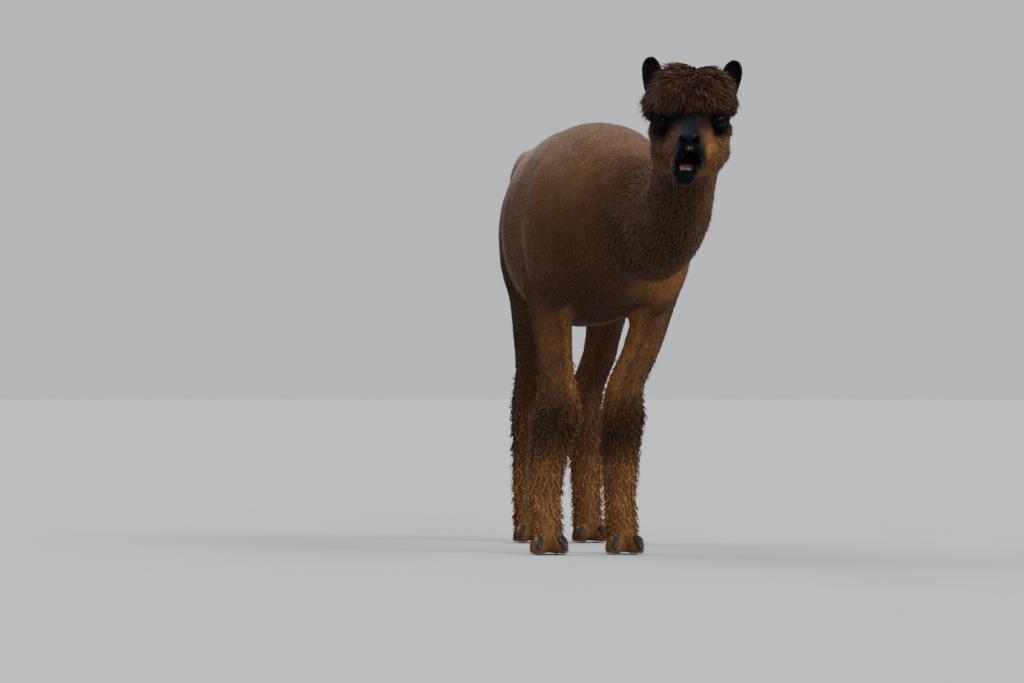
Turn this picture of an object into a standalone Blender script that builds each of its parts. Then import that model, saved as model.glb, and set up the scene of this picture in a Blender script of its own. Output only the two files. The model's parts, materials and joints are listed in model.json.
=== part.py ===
"""A life-size alpaca, standing with its head held low and forward and its mouth a little open.

The body is modelled whole, from lofted limbs that are melted into one skin, and then parted with thin
cuts into the pieces a person would name. The outer surface is that of the coat, out to its tips.
Metres, +Z up. The alpaca faces -Y, and +X is its left side.
"""

import math

import bmesh
import bpy
from mathutils import Matrix, Vector

# ---------------------------------------------------------------- driving sizes
WITHERS = 0.915            # height of the back over the forelegs, in the coat
GAP = 0.0004               # clearance between neighbouring pieces

VOXEL = 0.0045             # cell of the remesh that melts the body together
BODY_PASSES = 4            # rounds of smoothing that take the cells' steps off
BODY_TRIANGLES = 3630      # what the whole body is thinned to before it is parted
SOFT_BEHIND = -0.44        # behind and above these the shapes flow into one another
SOFT_ABOVE = 0.46
SOFT_PASSES = 28
MOP_VOXEL = 0.006
MOP_PASSES = 3
MOP_TRIANGLES = 310
CREASE = math.radians(50)  # edges sharper than this stay sharp
WELD = 0.00006             # points nearer than this are one
SHARPEST = 2.0             # limit on how far an offset corner may run out

# the head's own frame: its origin lies midway between the eyes, -Y runs to the nose
EYES_AT = Vector((0.080, -0.615, 0.872))
HEAD_TURN = math.radians(-10.5)   # about +Z, towards the alpaca's right
HEAD_NOD = math.radians(1.0)      # nose down
EYE_OFFSET = Vector((0.0540, -0.007, -0.001))
EYE_RADIUS = 0.0180
EYE_SEGMENTS = 14

SIDES = {"left": 1, "right": -1}
PAIRS = ("fore", "hind")

MATERIALS = {              # colour, roughness
    "fleece": ((0.085, 0.045, 0.026), 0.95),
    "topknot": ((0.075, 0.038, 0.026), 0.95),
    "face": ((0.045, 0.026, 0.017), 0.85),
    "ear": ((0.012, 0.011, 0.010), 0.85),
    "eye": ((0.006, 0.005, 0.005), 0.10),
    "tongue": ((0.30, 0.14, 0.10), 0.45),
    "nail": ((0.035, 0.028, 0.022), 0.40),
}
SLOTS = {                  # the start of a node's name, and its material; every other node is fleece
    "topknot": "topknot",
    "head": "face",
    "lower_jaw": "face",
    "ear": "ear",
    "eye": "eye",
    "tongue": "tongue",
    "nail": "nail",
}


# ---------------------------------------------------------------- small helpers
def clear_scene():
    for obj in list(bpy.data.objects):
        bpy.data.objects.remove(obj)


def new_collection(name):
    made = bpy.data.collections.new(name)
    bpy.context.scene.collection.children.link(made)
    return made


def material(name, colour, roughness):
    made = bpy.data.materials.new(name)
    made.use_nodes = True
    shader = made.node_tree.nodes["Principled BSDF"]
    shader.inputs["Base Color"].default_value = (*colour, 1.0)
    shader.inputs["Roughness"].default_value = roughness
    shader.inputs["Metallic"].default_value = 0.0
    return made


def object_from(name, bm, collection):
    mesh = bpy.data.meshes.new(name)
    bm.to_mesh(mesh)
    bm.free()
    obj = bpy.data.objects.new(name, mesh)
    collection.objects.link(obj)
    return obj


def between(p, q, r, s, t):
    """The value at t, from 0 at q to 1 at r, on the smooth curve through p, q, r and s."""
    bend = 2 * p - 5 * q + 4 * r - s
    twist = 3 * q - p - 3 * r + s
    return 0.5 * (2 * q + (r - p) * t + bend * t**2 + twist * t**3)


def catmull_rom(rows, steps):
    """Rows of numbers, smoothly filled in with `steps` rows for each span."""
    filled = []
    last = len(rows) - 1
    for i in range(last):
        four = rows[max(i - 1, 0)], rows[i], rows[i + 1], rows[min(i + 2, last)]
        for k in range(steps):
            filled.append([between(*column, k / steps) for column in zip(*four)])
    filled.append(list(rows[last]))
    return filled


def section(angle, square):
    """The cosine and sine of a round section, drawn out towards a box where `square` is over 2."""
    c = math.cos(angle)
    s = math.sin(angle)
    return math.copysign(abs(c) ** (2 / square), c), math.copysign(abs(s) ** (2 / square), s)


def spun(turn):
    """A turn about X, then Y, then Z."""
    about_x, about_y, about_z = (Matrix.Rotation(angle, 4, axis) for angle, axis in zip(turn, "XYZ"))
    return about_z @ about_y @ about_x


def skin_rings(name, rings, collection):
    """A closed surface over rings of points, with each end drawn to its ring's centre."""
    bm = bmesh.new()
    loops = [[bm.verts.new(p) for p in ring] for ring in rings]
    count = len(loops[0])
    for low, high in zip(loops, loops[1:]):
        for k in range(count):
            bm.faces.new((low[k], low[(k + 1) % count], high[(k + 1) % count], high[k]))
    for loop in (loops[0], loops[-1]):
        centre = bm.verts.new(sum((v.co for v in loop), Vector()) / count)
        for k in range(count):
            bm.faces.new((loop[k], loop[(k + 1) % count], centre))
    bmesh.ops.recalc_face_normals(bm, faces=bm.faces)
    return object_from(name, bm, collection)


def limb(name, stations, collection, across=Vector((1, 0, 0)), steps=4, sides=20):
    """A loft along a path. A station is (x, y, z, half width across, half depth)."""
    rows = catmull_rom(stations, steps)
    centres = [Vector(row[:3]) for row in rows]
    rings = []
    for i, (*_, half, depth) in enumerate(rows):
        along = (centres[min(i + 1, len(rows) - 1)] - centres[max(i - 1, 0)]).normalized()
        side = (across - across.dot(along) * along).normalized()
        deep = along.cross(side)
        ring = []
        for k in range(sides):
            angle = math.tau * k / sides
            ring.append(centres[i] + half * math.cos(angle) * side + depth * math.sin(angle) * deep)
        rings.append(ring)
    return skin_rings(name, rings, collection)


def barrel(name, stations, collection, square, steps=4, sides=28):
    """A loft along Y. A station is (y, half width, top, bottom, centre x)."""
    rings = []
    for y, half, top, bottom, x in catmull_rom(stations, steps):
        middle = (top + bottom) / 2
        tall = (top - bottom) / 2
        ring = []
        for k in range(sides):
            c, s = section(math.tau * k / sides, square)
            ring.append(Vector((x + half * c, y, middle + tall * s)))
        rings.append(ring)
    return skin_rings(name, rings, collection)


def ball(name, centre, radii, collection, turn=(0.0, 0.0, 0.0), segments=24):
    bm = bmesh.new()
    bmesh.ops.create_uvsphere(bm, u_segments=segments, v_segments=segments // 2, radius=1.0)
    bm.transform(Matrix.Translation(centre) @ spun(turn) @ Matrix.Diagonal((*radii, 1.0)))
    return object_from(name, bm, collection)


def box(name, low, high, collection):
    bm = bmesh.new()
    bmesh.ops.create_cube(bm, size=1.0)
    low = Vector(low)
    high = Vector(high)
    bm.transform(Matrix.Translation((low + high) / 2) @ Matrix.Diagonal((*(high - low), 1.0)))
    return object_from(name, bm, collection)


def join(name, pieces, collection):
    """The pieces as one object, moved from the work collection to this one."""
    whole = pieces[0]
    with bpy.context.temp_override(active_object=whole, object=whole, selected_editable_objects=pieces):
        bpy.ops.object.join()
    whole.name = name
    for old in list(whole.users_collection):
        old.objects.unlink(whole)
    collection.objects.link(whole)
    return whole


def evaluate(obj):
    """Applies the object's modifiers to its mesh."""
    bpy.context.view_layer.update()
    graph = bpy.context.evaluated_depsgraph_get()
    mesh = bpy.data.meshes.new_from_object(obj.evaluated_get(graph))
    obj.modifiers.clear()
    obj.data = mesh
    mesh.name = obj.name
    return obj


def melt(obj, voxel, passes):
    """Overlapping closed shapes made one skin."""
    remesh = obj.modifiers.new("Melt", "REMESH")
    remesh.mode = "VOXEL"
    remesh.voxel_size = voxel
    relax = obj.modifiers.new("Relax", "SMOOTH")
    relax.iterations = passes
    relax.factor = 0.5
    return evaluate(obj)


def thin(obj, triangles):
    """Collapses the mesh to about this many triangles, the flattest places first."""
    obj.data.calc_loop_triangles()
    collapse = obj.modifiers.new("Thin", "DECIMATE")
    collapse.ratio = min(1.0, triangles / len(obj.data.loop_triangles))
    return evaluate(obj)


def boolean(obj, cutter, operation="DIFFERENCE"):
    cut = obj.modifiers.new(operation.title(), "BOOLEAN")
    cut.operation = operation
    cut.solver = "EXACT"
    cut.object = cutter
    return evaluate(obj)


def grown(obj, by, collection):
    """A copy whose surface stands `by` further out, to cut its neighbours with."""
    bm = bmesh.new()
    bm.from_mesh(obj.data)
    bm.normal_update()
    moved = [v.co + v.normal * by * min(v.calc_shell_factor(), SHARPEST) for v in bm.verts]
    for vert, co in zip(bm.verts, moved):
        vert.co = co
    copy = object_from(obj.name + "_grown", bm, collection)
    hide(copy)
    return copy


def hide(obj):
    obj.hide_render = True
    obj.display_type = "WIRE"


def soften_torso(body):
    """Relaxes the trunk, the neck and the roots of the legs, whose muscles flow into one another."""
    group = body.vertex_groups.new(name="soft")
    chosen = [v.index for v in body.data.vertices if v.co.y > SOFT_BEHIND and v.co.z > SOFT_ABOVE]
    group.add(chosen, 1.0, "REPLACE")
    relax = body.modifiers.new("Relax", "SMOOTH")
    relax.factor = 0.5
    relax.iterations = SOFT_PASSES
    relax.vertex_group = group.name
    evaluate(body)
    body.vertex_groups.clear()


def head_matrix():
    return Matrix.Translation(EYES_AT) @ spun((HEAD_NOD, 0.0, HEAD_TURN))


# ---------------------------------------------------------------- the body's forms
def trunk_forms(work):
    """Chest, barrel and rump: y, half width, top, bottom, centre x."""
    top = WITHERS
    stations = [
        (-0.215, 0.050, top - 0.175, top - 0.285, 0.012),
        (-0.170, 0.120, top - 0.085, top - 0.350, 0.010),
        (-0.090, 0.160, top - 0.020, top - 0.395, 0.006),
        (0.020, 0.179, top, top - 0.422, 0.000),
        (0.160, 0.188, top + 0.003, top - 0.437, 0.000),
        (0.310, 0.180, top - 0.002, top - 0.437, 0.000),
        (0.410, 0.160, top - 0.030, top - 0.412, 0.000),
        (0.500, 0.146, top - 0.030, top - 0.370, 0.000),
        (0.570, 0.132, top - 0.034, top - 0.335, 0.000),
        (0.640, 0.112, top - 0.068, top - 0.300, 0.000),
        (0.700, 0.060, top - 0.130, top - 0.235, 0.000),
    ]
    pieces = [barrel("trunk_barrel", stations, work, square=2.0)]
    for side, sign in SIDES.items():
        pieces += [
            ball("shoulder_" + side, (sign * 0.108 + 0.005, -0.055, 0.675), (0.074, 0.105, 0.170), work),
            ball("hip_" + side, (sign * 0.0765, 0.525, 0.798), (0.057, 0.060, 0.092), work),
            ball("haunch_" + side, (sign * 0.078, 0.580, 0.690), (0.070, 0.122, 0.165), work,
                 turn=(0.2, 0, 0)),
        ]
    return pieces


def neck_forms(work):
    """The neck leaves the chest low and forward, swings to the left and rises to the head."""
    stations = [
        (0.000, 0.040, 0.745, 0.120, 0.150),
        (0.030, -0.090, 0.722, 0.122, 0.155),
        (0.066, -0.195, 0.690, 0.100, 0.128),
        (0.087, -0.290, 0.684, 0.080, 0.104),
        (0.098, -0.370, 0.715, 0.070, 0.088),
        (0.100, -0.430, 0.765, 0.066, 0.080),
        (0.099, -0.475, 0.810, 0.066, 0.076),
        (0.096, -0.520, 0.843, 0.062, 0.064),
        (0.092, -0.555, 0.856, 0.050, 0.048),
    ]
    return [limb("neck_tube", stations, work, steps=5, sides=24)]


# x of each leg's middle at these heights: the animal stands with its feet swung a little to its right
FORELEG_HEIGHTS = (0.680, 0.590, 0.490, 0.420, 0.355, 0.300, 0.255, 0.215, 0.165, 0.110, 0.070, 0.035)
FORELEG_X = {
    "left": (0.116, 0.126, 0.106, 0.083, 0.053, 0.046, 0.042, 0.040, 0.040, 0.040, 0.041, 0.042),
    "right": (-0.105, -0.112, -0.102, -0.098, -0.094, -0.094,
              -0.104, -0.111, -0.116, -0.118, -0.118, -0.118),
}
# at the same heights: y, half width, half depth
FORELEG_FORM = (
    (-0.020, 0.060, 0.080), (0.020, 0.058, 0.078), (0.022, 0.047, 0.060), (0.014, 0.042, 0.050),
    (0.004, 0.043, 0.048), (-0.004, 0.050, 0.052), (-0.002, 0.048, 0.049), (0.002, 0.045, 0.045),
    (0.008, 0.041, 0.041), (0.008, 0.037, 0.038), (-0.004, 0.035, 0.037), (-0.014, 0.033, 0.036),
)

HINDLEG_HEIGHTS = (0.700, 0.620, 0.545, 0.480, 0.426, 0.385, 0.340,
                   0.290, 0.235, 0.170, 0.115, 0.072, 0.036)
HINDLEG_X = {
    "left": (0.095, 0.098, 0.100, 0.096, 0.089, 0.076, 0.062, 0.058, 0.057, 0.058, 0.058, 0.058, 0.058),
    "right": (-0.085, -0.084, -0.077, -0.071, -0.067, -0.065, -0.069,
              -0.072, -0.072, -0.074, -0.076, -0.076, -0.076),
}
HINDLEG_FORM = (
    (0.555, 0.058, 0.125), (0.548, 0.056, 0.118), (0.552, 0.050, 0.092), (0.580, 0.045, 0.068),
    (0.602, 0.043, 0.054), (0.618, 0.040, 0.048), (0.624, 0.040, 0.048), (0.614, 0.041, 0.046),
    (0.606, 0.041, 0.045), (0.600, 0.039, 0.043), (0.596, 0.037, 0.038), (0.584, 0.034, 0.036),
    (0.572, 0.032, 0.035),
)
HOCK_STATION = 6           # the station of the hind leg that the hock stands behind


def leg_stations(pair, side, margin=0.0):
    """One leg's loft, down from the trunk. `margin` widens it, for a cutter that holds the whole leg."""
    heights, xs, form = {
        "fore": (FORELEG_HEIGHTS, FORELEG_X[side], FORELEG_FORM),
        "hind": (HINDLEG_HEIGHTS, HINDLEG_X[side], HINDLEG_FORM),
    }[pair]
    return [(x, y, z, half + margin, deep + margin) for z, x, (y, half, deep) in zip(heights, xs, form)]


def leg_forms(pair, side, work):
    stations = leg_stations(pair, side)
    forms = [limb(f"{pair}leg_{side}_form", stations, work)]
    if pair == "hind":
        hock_at = (HINDLEG_X[side][HOCK_STATION], 0.652, 0.352)
        forms.append(ball(f"hock_{side}", hock_at, (0.024, 0.026, 0.045), work, turn=(-0.3, 0, 0)))
    foot_x, foot_y = stations[-1][:2]
    return forms + foot_forms(f"{pair}_{side}", foot_x, foot_y, work)


TOE_SPREAD = 0.0200        # from the foot's middle line to each toe's
TOE_SPLAY = math.radians(6)
TOE_FORWARD = 0.010        # the toes' middle, ahead of the last station of the leg
NAIL_LIFT = 0.004          # the nails' clearance over the floor


def toe_matrix(foot_x, foot_y, inner):
    """A toe's frame on the floor: it points along -Y, splayed a little to its own side."""
    turn = Matrix.Rotation(inner * TOE_SPLAY, 4, "Z")
    return Matrix.Translation((foot_x + inner * TOE_SPREAD, foot_y - TOE_FORWARD, 0.0)) @ turn


def foot_forms(label, x, y, work):
    """Two long padded toes, side by side, and the pastern over them."""
    forms = [ball(f"pastern_{label}", (x, y + 0.002, 0.044), (0.036, 0.042, 0.032), work)]
    for inner in (-1, 1):
        frame = toe_matrix(x, y, inner)
        for part, centre, radii in (
            ("pad", (0.0, -0.012, 0.014), (0.0195, 0.050, 0.0230)),
            ("toe", (0.0, -0.034, 0.020), (0.0180, 0.030, 0.0220)),
        ):
            forms.append(ball(f"{part}_{label}_{inner}", frame @ Vector(centre), radii, work,
                              turn=(0.0, 0.0, inner * TOE_SPLAY), segments=16))
    return forms


def nail_form(name, x, y, inner, work):
    """A toe's long curved nail, over the tip of the toe."""
    stations = [
        (0.0, -0.034, 0.0370, 0.0095, 0.0055),
        (0.0, -0.051, 0.0330, 0.0110, 0.0075),
        (0.0, -0.063, 0.0240, 0.0095, 0.0075),
        (0.0, -0.070, NAIL_LIFT + 0.0075, 0.0055, 0.0050),
    ]
    nail = limb(name, stations, work, steps=1, sides=6)
    nail.data.transform(toe_matrix(x, y, inner))
    return nail


def tail_form(work):
    """A soft brush of a tail that hangs close behind the rump."""
    stations = [
        (0.000, 0.645, 0.785, 0.030, 0.026),
        (0.000, 0.690, 0.796, 0.039, 0.031),
        (0.000, 0.724, 0.770, 0.046, 0.033),
        (0.002, 0.744, 0.715, 0.049, 0.031),
        (0.004, 0.750, 0.650, 0.045, 0.027),
        (0.006, 0.748, 0.602, 0.030, 0.019),
        (0.007, 0.746, 0.580, 0.012, 0.009),
    ]
    return limb("tail", stations, work, steps=2, sides=12)


# ---------------------------------------------------------------- the head's forms
JAW_SHIFT = -0.005         # the jaw hangs a little to the alpaca's right, mid chew


def head_forms(work):
    """Skull, cheeks and upper jaw: y, half width, top, bottom, centre x."""
    stations = [
        (0.125, 0.040, 0.010, -0.050, 0.0),
        (0.100, 0.060, 0.042, -0.080, 0.0),
        (0.060, 0.076, 0.058, -0.098, 0.0),
        (0.022, 0.073, 0.054, -0.100, 0.0),
        (-0.012, 0.054, 0.036, -0.090, 0.0),
        (-0.042, 0.0415, 0.017, -0.079, 0.0),
        (-0.075, 0.0350, 0.001, -0.073, 0.0),
        (-0.105, 0.0300, -0.012, -0.073, 0.0),
        (-0.130, 0.0280, -0.023, -0.077, 0.0),
        (-0.147, 0.0240, -0.033, -0.077, 0.0),
        (-0.155, 0.0140, -0.043, -0.070, 0.0),
    ]
    forms = [barrel("skull", stations, work, square=2.25)]
    for side, sign in SIDES.items():
        forms += [
            ball("mouth_corner_" + side, (sign * 0.025, -0.060, -0.081), (0.010, 0.038, 0.014), work),
            ball("brow_" + side, (sign * 0.047, 0.008, 0.019), (0.026, 0.028, 0.013), work),
            ball("orbit_" + side, (sign * 0.051, 0.007, -0.001), (0.0240, 0.0225, 0.0215), work),
            ball("cheek_" + side, (sign * 0.042, 0.026, -0.055), (0.036, 0.058, 0.044), work),
            ball("nostril_wing_" + side, (sign * 0.0155, -0.141, -0.043), (0.0115, 0.017, 0.0135), work),
            ball("upper_lip_" + side, (sign * 0.0165, -0.136, -0.070), (0.0155, 0.0175, 0.0130), work),
        ]
    return forms


def jaw_forms(work):
    """The lower jaw, let down from the mouth's corner to the chin."""
    x = JAW_SHIFT
    stations = [
        (0.060, 0.046, -0.050, -0.106, 0.0),
        (0.020, 0.042, -0.062, -0.110, 0.0),
        (-0.030, 0.032, -0.075, -0.116, 0.3 * x),
        (-0.070, 0.0260, -0.086, -0.123, 0.7 * x),
        (-0.100, 0.0250, -0.095, -0.128, x),
        (-0.122, 0.0260, -0.100, -0.130, x),
        (-0.135, 0.0170, -0.105, -0.125, x),
    ]
    return [barrel("jaw", stations, work, square=2.3)]


def topknot_forms(work):
    """The mop between the ears: a dome, a fringe, a fall down each side and a ruff behind."""
    return [
        ball("dome", (0.003, 0.022, 0.046), (0.094, 0.086, 0.074), work, segments=32),
        ball("fringe", (0.000, -0.032, 0.031), (0.050, 0.036, 0.032), work),
        ball("fall_left", (0.068, 0.026, 0.032), (0.034, 0.046, 0.044), work),
        ball("fall_right", (-0.070, 0.024, 0.024), (0.034, 0.046, 0.042), work),
        ball("ruff", (0.000, 0.074, 0.036), (0.082, 0.064, 0.066), work),
    ]


EAR_ROOT = Vector((0.066, 0.052, 0.034))
EAR_TIP = {"left": Vector((0.0900, 0.056, 0.121)), "right": Vector((0.0800, 0.056, 0.129))}
EAR_HALF_WIDTH = 0.0215
EAR_HALF_DEPTH = 0.0110
# the share of the ear's length, and the shares of its half width and half depth there
EAR_FORM = (
    (0.00, 0.62, 0.90), (0.20, 0.86, 1.00), (0.45, 1.00, 0.95),
    (0.70, 0.98, 0.78), (0.89, 0.74, 0.55), (1.00, 0.30, 0.28),
)
EAR_HOLLOW_AT = 0.52       # share of the length
EAR_HOLLOW_FORWARD = Vector((0.0, -0.0085, 0.002))
EAR_HOLLOW_RADII = (0.0155, 0.0095, 0.040)


def ear_form(side, collection, work):
    """A short, broad, upright ear, hollowed in front, and the cutter that makes room for its root."""
    mirror = Matrix.Diagonal((SIDES[side], 1, 1))
    root = mirror @ EAR_ROOT
    tip = mirror @ EAR_TIP[side]
    rows = [
        (*root.lerp(tip, share), EAR_HALF_WIDTH * width, EAR_HALF_DEPTH * depth)
        for share, width, depth in EAR_FORM
    ]
    ear = limb("ear_" + side, rows, collection, steps=1, sides=10)
    ear.data.transform(head_matrix())
    ear_side = grown(ear, GAP, work)
    lean = math.atan2(tip.x - root.x, tip.z - root.z)
    hollow_at = root.lerp(tip, EAR_HOLLOW_AT) + EAR_HOLLOW_FORWARD
    hollow = ball("ear_hollow", hollow_at, EAR_HOLLOW_RADII, work, turn=(0.0, lean, 0.0), segments=10)
    hollow.data.transform(head_matrix())
    hide(hollow)
    return boolean(ear, hollow), ear_side


# ---------------------------------------------------------------- parting the body
def part_off(body, cutter, name, collection, work):
    """Takes what lies in the cutter off the body, as a piece of its own, and leaves GAP between the two."""
    hide(cutter)
    piece = bpy.data.objects.new(name, body.data.copy())
    collection.objects.link(piece)
    boolean(piece, cutter, "INTERSECT")
    boolean(body, grown(cutter, GAP, work))
    return piece


def half_space(name, point, normal, reach, work):
    """A cube whose face passes through the point and which lies on the side the normal points to."""
    cube = box(name, (-reach / 2, -reach / 2, 0.0), (reach / 2, reach / 2, reach), work)
    spin = Vector(normal).to_track_quat("Z", "Y").to_matrix().to_4x4()
    cube.data.transform(Matrix.Translation(point) @ spin)
    return cube


def prism(name, profile, half_width, work):
    """A (y, z) outline drawn out to both sides of the X axis."""
    bm = bmesh.new()
    ends = [[bm.verts.new((x, y, z)) for y, z in profile] for x in (-half_width, half_width)]
    count = len(profile)
    bm.faces.new(ends[0])
    bm.faces.new(ends[1][::-1])
    for k in range(count):
        bm.faces.new((ends[0][k], ends[0][(k + 1) % count], ends[1][(k + 1) % count], ends[1][k]))
    bmesh.ops.recalc_face_normals(bm, faces=bm.faces)
    return object_from(name, bm, work)


BELL_TOP = {"fore": 0.615, "hind": 0.640}   # how high each leg reaches into the trunk
BELL_MARGIN = 0.017        # room around the leg
BELL_CROWN = ((0.040, 0.25), (0.030, 0.70))   # rise over the top, share of the leg's width
BELL_FOOT = (-0.05, 0.02, 0.06)    # its height, and its margins across and along the foot


def leg_cutter(pair, side, work):
    """A bell that holds one leg whole and has its rounded top in the trunk."""
    top = BELL_TOP[pair]
    rows = [row for row in leg_stations(pair, side, margin=BELL_MARGIN) if row[2] < top]
    x, y, _, half, deep = rows[0]
    crown = [(x, y, top + rise, half * share, deep * share) for rise, share in BELL_CROWN]
    x, y, _, half, deep = rows[-1]
    height, wider, longer = BELL_FOOT
    foot = [(x, y - wider, height, half + wider, deep + longer)]
    return limb(f"{pair}leg_{side}_bell", crown + rows[::2] + foot, work, steps=1, sides=10)


# the cuts: a point, the way to the piece that comes off, and a reach that holds it whole
HEAD_CUT = (Vector((0.099, -0.470, 0.808)), (0.0, -0.70, 0.72), 0.6)
NECK_CUT = (Vector((0.062, -0.195, 0.690)), (0.28, -0.94, -0.15), 0.7)
FOOT_CUT = (Vector((0.0, 0.25, 0.078)), (0.0, 0.0, -1.0), 1.2)
# the side outline of what is lower jaw, y and z in the head's frame, from the mouth's corner round
JAW_SIDE = ((-0.090, -0.0845), (0.040, -0.142), (-0.20, -0.170), (-0.20, -0.0985))
JAW_SIDE_HALF = 0.09


def part_body(body, alpaca, work):
    """Head, neck, legs and feet come off in turn; what is left is the trunk."""
    pieces = {}
    for name, cut in (("head", HEAD_CUT), ("neck", NECK_CUT)):
        pieces[name] = part_off(body, half_space(name + "_side", *cut, work), name, alpaca, work)
    for pair in PAIRS:
        for side in SIDES:
            leg = part_off(body, leg_cutter(pair, side, work), f"{pair}leg_{side}", alpaca, work)
            foot_name = f"{pair}foot_{side}"
            pieces[foot_name] = part_off(leg, half_space(foot_name + "_side", *FOOT_CUT, work), foot_name,
                                         alpaca, work)
            pieces[leg.name] = leg
    body.name = "trunk"
    pieces["trunk"] = body
    jaw_side = prism("jaw_side", JAW_SIDE, JAW_SIDE_HALF, work)
    jaw_side.data.transform(head_matrix())
    pieces["lower_jaw"] = part_off(pieces["head"], jaw_side, "lower_jaw", alpaca, work)
    for piece in pieces.values():
        keep_largest(piece)
    return pieces


INCISORS = 6
INCISOR_SIZE = (0.0038, 0.0034, 0.0150)
INCISOR_ROUNDING = 0.15    # share of a tooth's size
INCISOR_LEAN = math.radians(24)
INCISOR_ARC = 0.0125       # radius of the row of incisors
INCISOR_STEP = math.radians(21)
INCISORS_AT = Vector((JAW_SHIFT, -0.1090, -0.1008))


def incisors(work):
    """The six lower front teeth, set in an arc and leaning forwards."""
    teeth = []
    lean = Matrix.Rotation(INCISOR_LEAN, 4, "X") @ Matrix.Diagonal((*INCISOR_SIZE, 1.0))
    for k in range(INCISORS):
        bm = bmesh.new()
        bmesh.ops.create_cube(bm, size=1.0)
        bmesh.ops.bevel(bm, geom=bm.edges, offset=INCISOR_ROUNDING, segments=1, affect="EDGES")
        around = Matrix.Rotation((k - (INCISORS - 1) / 2) * INCISOR_STEP, 4, "Z")
        out = Matrix.Translation((0.0, -INCISOR_ARC, 0.0))
        bm.transform(Matrix.Translation(INCISORS_AT) @ around @ out @ lean)
        teeth.append(object_from(f"incisor_{k}", bm, work))
    return teeth


def tongue_form(work):
    stations = [
        (0.6 * JAW_SHIFT, -0.058, -0.0865, 0.0100, 0.0035),
        (0.8 * JAW_SHIFT, -0.078, -0.0890, 0.0115, 0.0048),
        (JAW_SHIFT, -0.096, -0.0930, 0.0110, 0.0048),
        (JAW_SHIFT, -0.110, -0.0955, 0.0070, 0.0032),
    ]
    return limb("tongue", stations, work, steps=2, sides=8)


def keep_largest(obj):
    """Drops loose crumbs of a cut."""
    bm = bmesh.new()
    bm.from_mesh(obj.data)
    bm.verts.ensure_lookup_table()
    seen = set()
    islands = []
    for start in bm.verts:
        if start.index in seen:
            continue
        stack, island = [start], []
        seen.add(start.index)
        while stack:
            vert = stack.pop()
            island.append(vert)
            for edge in vert.link_edges:
                other = edge.other_vert(vert)
                if other.index not in seen:
                    seen.add(other.index)
                    stack.append(other)
        islands.append(island)
    islands.sort(key=len)
    for island in islands[:-1]:
        bmesh.ops.delete(bm, geom=island, context="VERTS")
    bm.to_mesh(obj.data)
    bm.free()


def tidy(obj):
    """One closed body of triangles, smooth shaded up to its creases."""
    keep_largest(obj)
    bm = bmesh.new()
    bm.from_mesh(obj.data)
    bmesh.ops.remove_doubles(bm, verts=bm.verts, dist=WELD)
    bmesh.ops.dissolve_degenerate(bm, edges=bm.edges, dist=WELD)
    bmesh.ops.triangulate(bm, faces=bm.faces)
    for face in bm.faces:
        face.smooth = True
    for edge in bm.edges:
        edge.smooth = edge.calc_face_angle(0.0) < CREASE
    bm.to_mesh(obj.data)
    bm.free()


# ---------------------------------------------------------------- putting it together
def melted_body(alpaca, work):
    """Trunk, neck, legs, skull and jaw as one skin, cut flat under the soles."""
    forms = trunk_forms(work) + neck_forms(work)
    for pair in PAIRS:
        for side in SIDES:
            forms += leg_forms(pair, side, work)
    head = head_forms(work) + jaw_forms(work)
    for obj in head:
        obj.data.transform(head_matrix())
    body = join("body", forms + head, alpaca)
    melt(body, VOXEL, BODY_PASSES)
    soften_torso(body)
    thin(body, BODY_TRIANGLES)
    floor = box("floor", (-1.0, -1.25, -0.1), (1.0, 1.75, 0.0), work)
    hide(floor)
    return boolean(body, floor)


def add_topknot(pieces, alpaca, work):
    mop = join("topknot", topknot_forms(work), alpaca)
    melt(mop, MOP_VOXEL, MOP_PASSES)
    mop.data.transform(head_matrix())
    thin(mop, MOP_TRIANGLES)
    boolean(pieces["head"], grown(mop, GAP, work))
    keep_largest(pieces["head"])
    pieces["topknot"] = mop


def add_eyes_and_ears(pieces, alpaca, work):
    """Each eye in its socket and each ear in its root, cut out of the head and the mop."""
    for side, sign in SIDES.items():
        spot = EYE_OFFSET * Vector((sign, 1, 1))
        socket = ball("socket_" + side, spot, (EYE_RADIUS + GAP,) * 3, work, segments=EYE_SEGMENTS)
        hide(socket)
        eye = ball("eye_" + side, spot, (EYE_RADIUS,) * 3, alpaca, segments=EYE_SEGMENTS)
        for obj in (socket, eye):
            obj.data.transform(head_matrix())
        ear, ear_side = ear_form(side, alpaca, work)
        for around in (pieces["head"], pieces["topknot"]):
            boolean(around, socket)
            boolean(around, ear_side)
        pieces[eye.name] = eye
        pieces[ear.name] = ear


def add_mouth(pieces, alpaca, work):
    tongue = tongue_form(alpaca)
    tongue.data.transform(head_matrix())
    for jaw in (pieces["head"], pieces["lower_jaw"]):
        boolean(jaw, grown(tongue, GAP, work))
    pieces["tongue"] = tongue
    for tooth in incisors(work):
        tooth.data.transform(head_matrix())
        hide(tooth)
        boolean(pieces["lower_jaw"], tooth, "UNION")


def add_tail(pieces, alpaca, work):
    tail = tail_form(alpaca)
    pieces["tail"] = boolean(tail, grown(pieces["trunk"], GAP, work))


def add_nails(pieces, alpaca, work):
    """Two long nails to a foot, each let into its toe."""
    for pair in PAIRS:
        for side in SIDES:
            foot_x, foot_y = leg_stations(pair, side)[-1][:2]
            for place, inner in SIDES.items():
                nail = nail_form(f"nail_{pair}_{side}_{place}", foot_x, foot_y, inner, alpaca)
                boolean(pieces[f"{pair}foot_{side}"], grown(nail, GAP, work))
                pieces[nail.name] = nail


def paint(obj):
    slot = next((slot for start, slot in SLOTS.items() if obj.name.startswith(start)), "fleece")
    obj.data.materials.clear()
    obj.data.materials.append(material(obj.name + "_" + slot, *MATERIALS[slot]))


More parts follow.
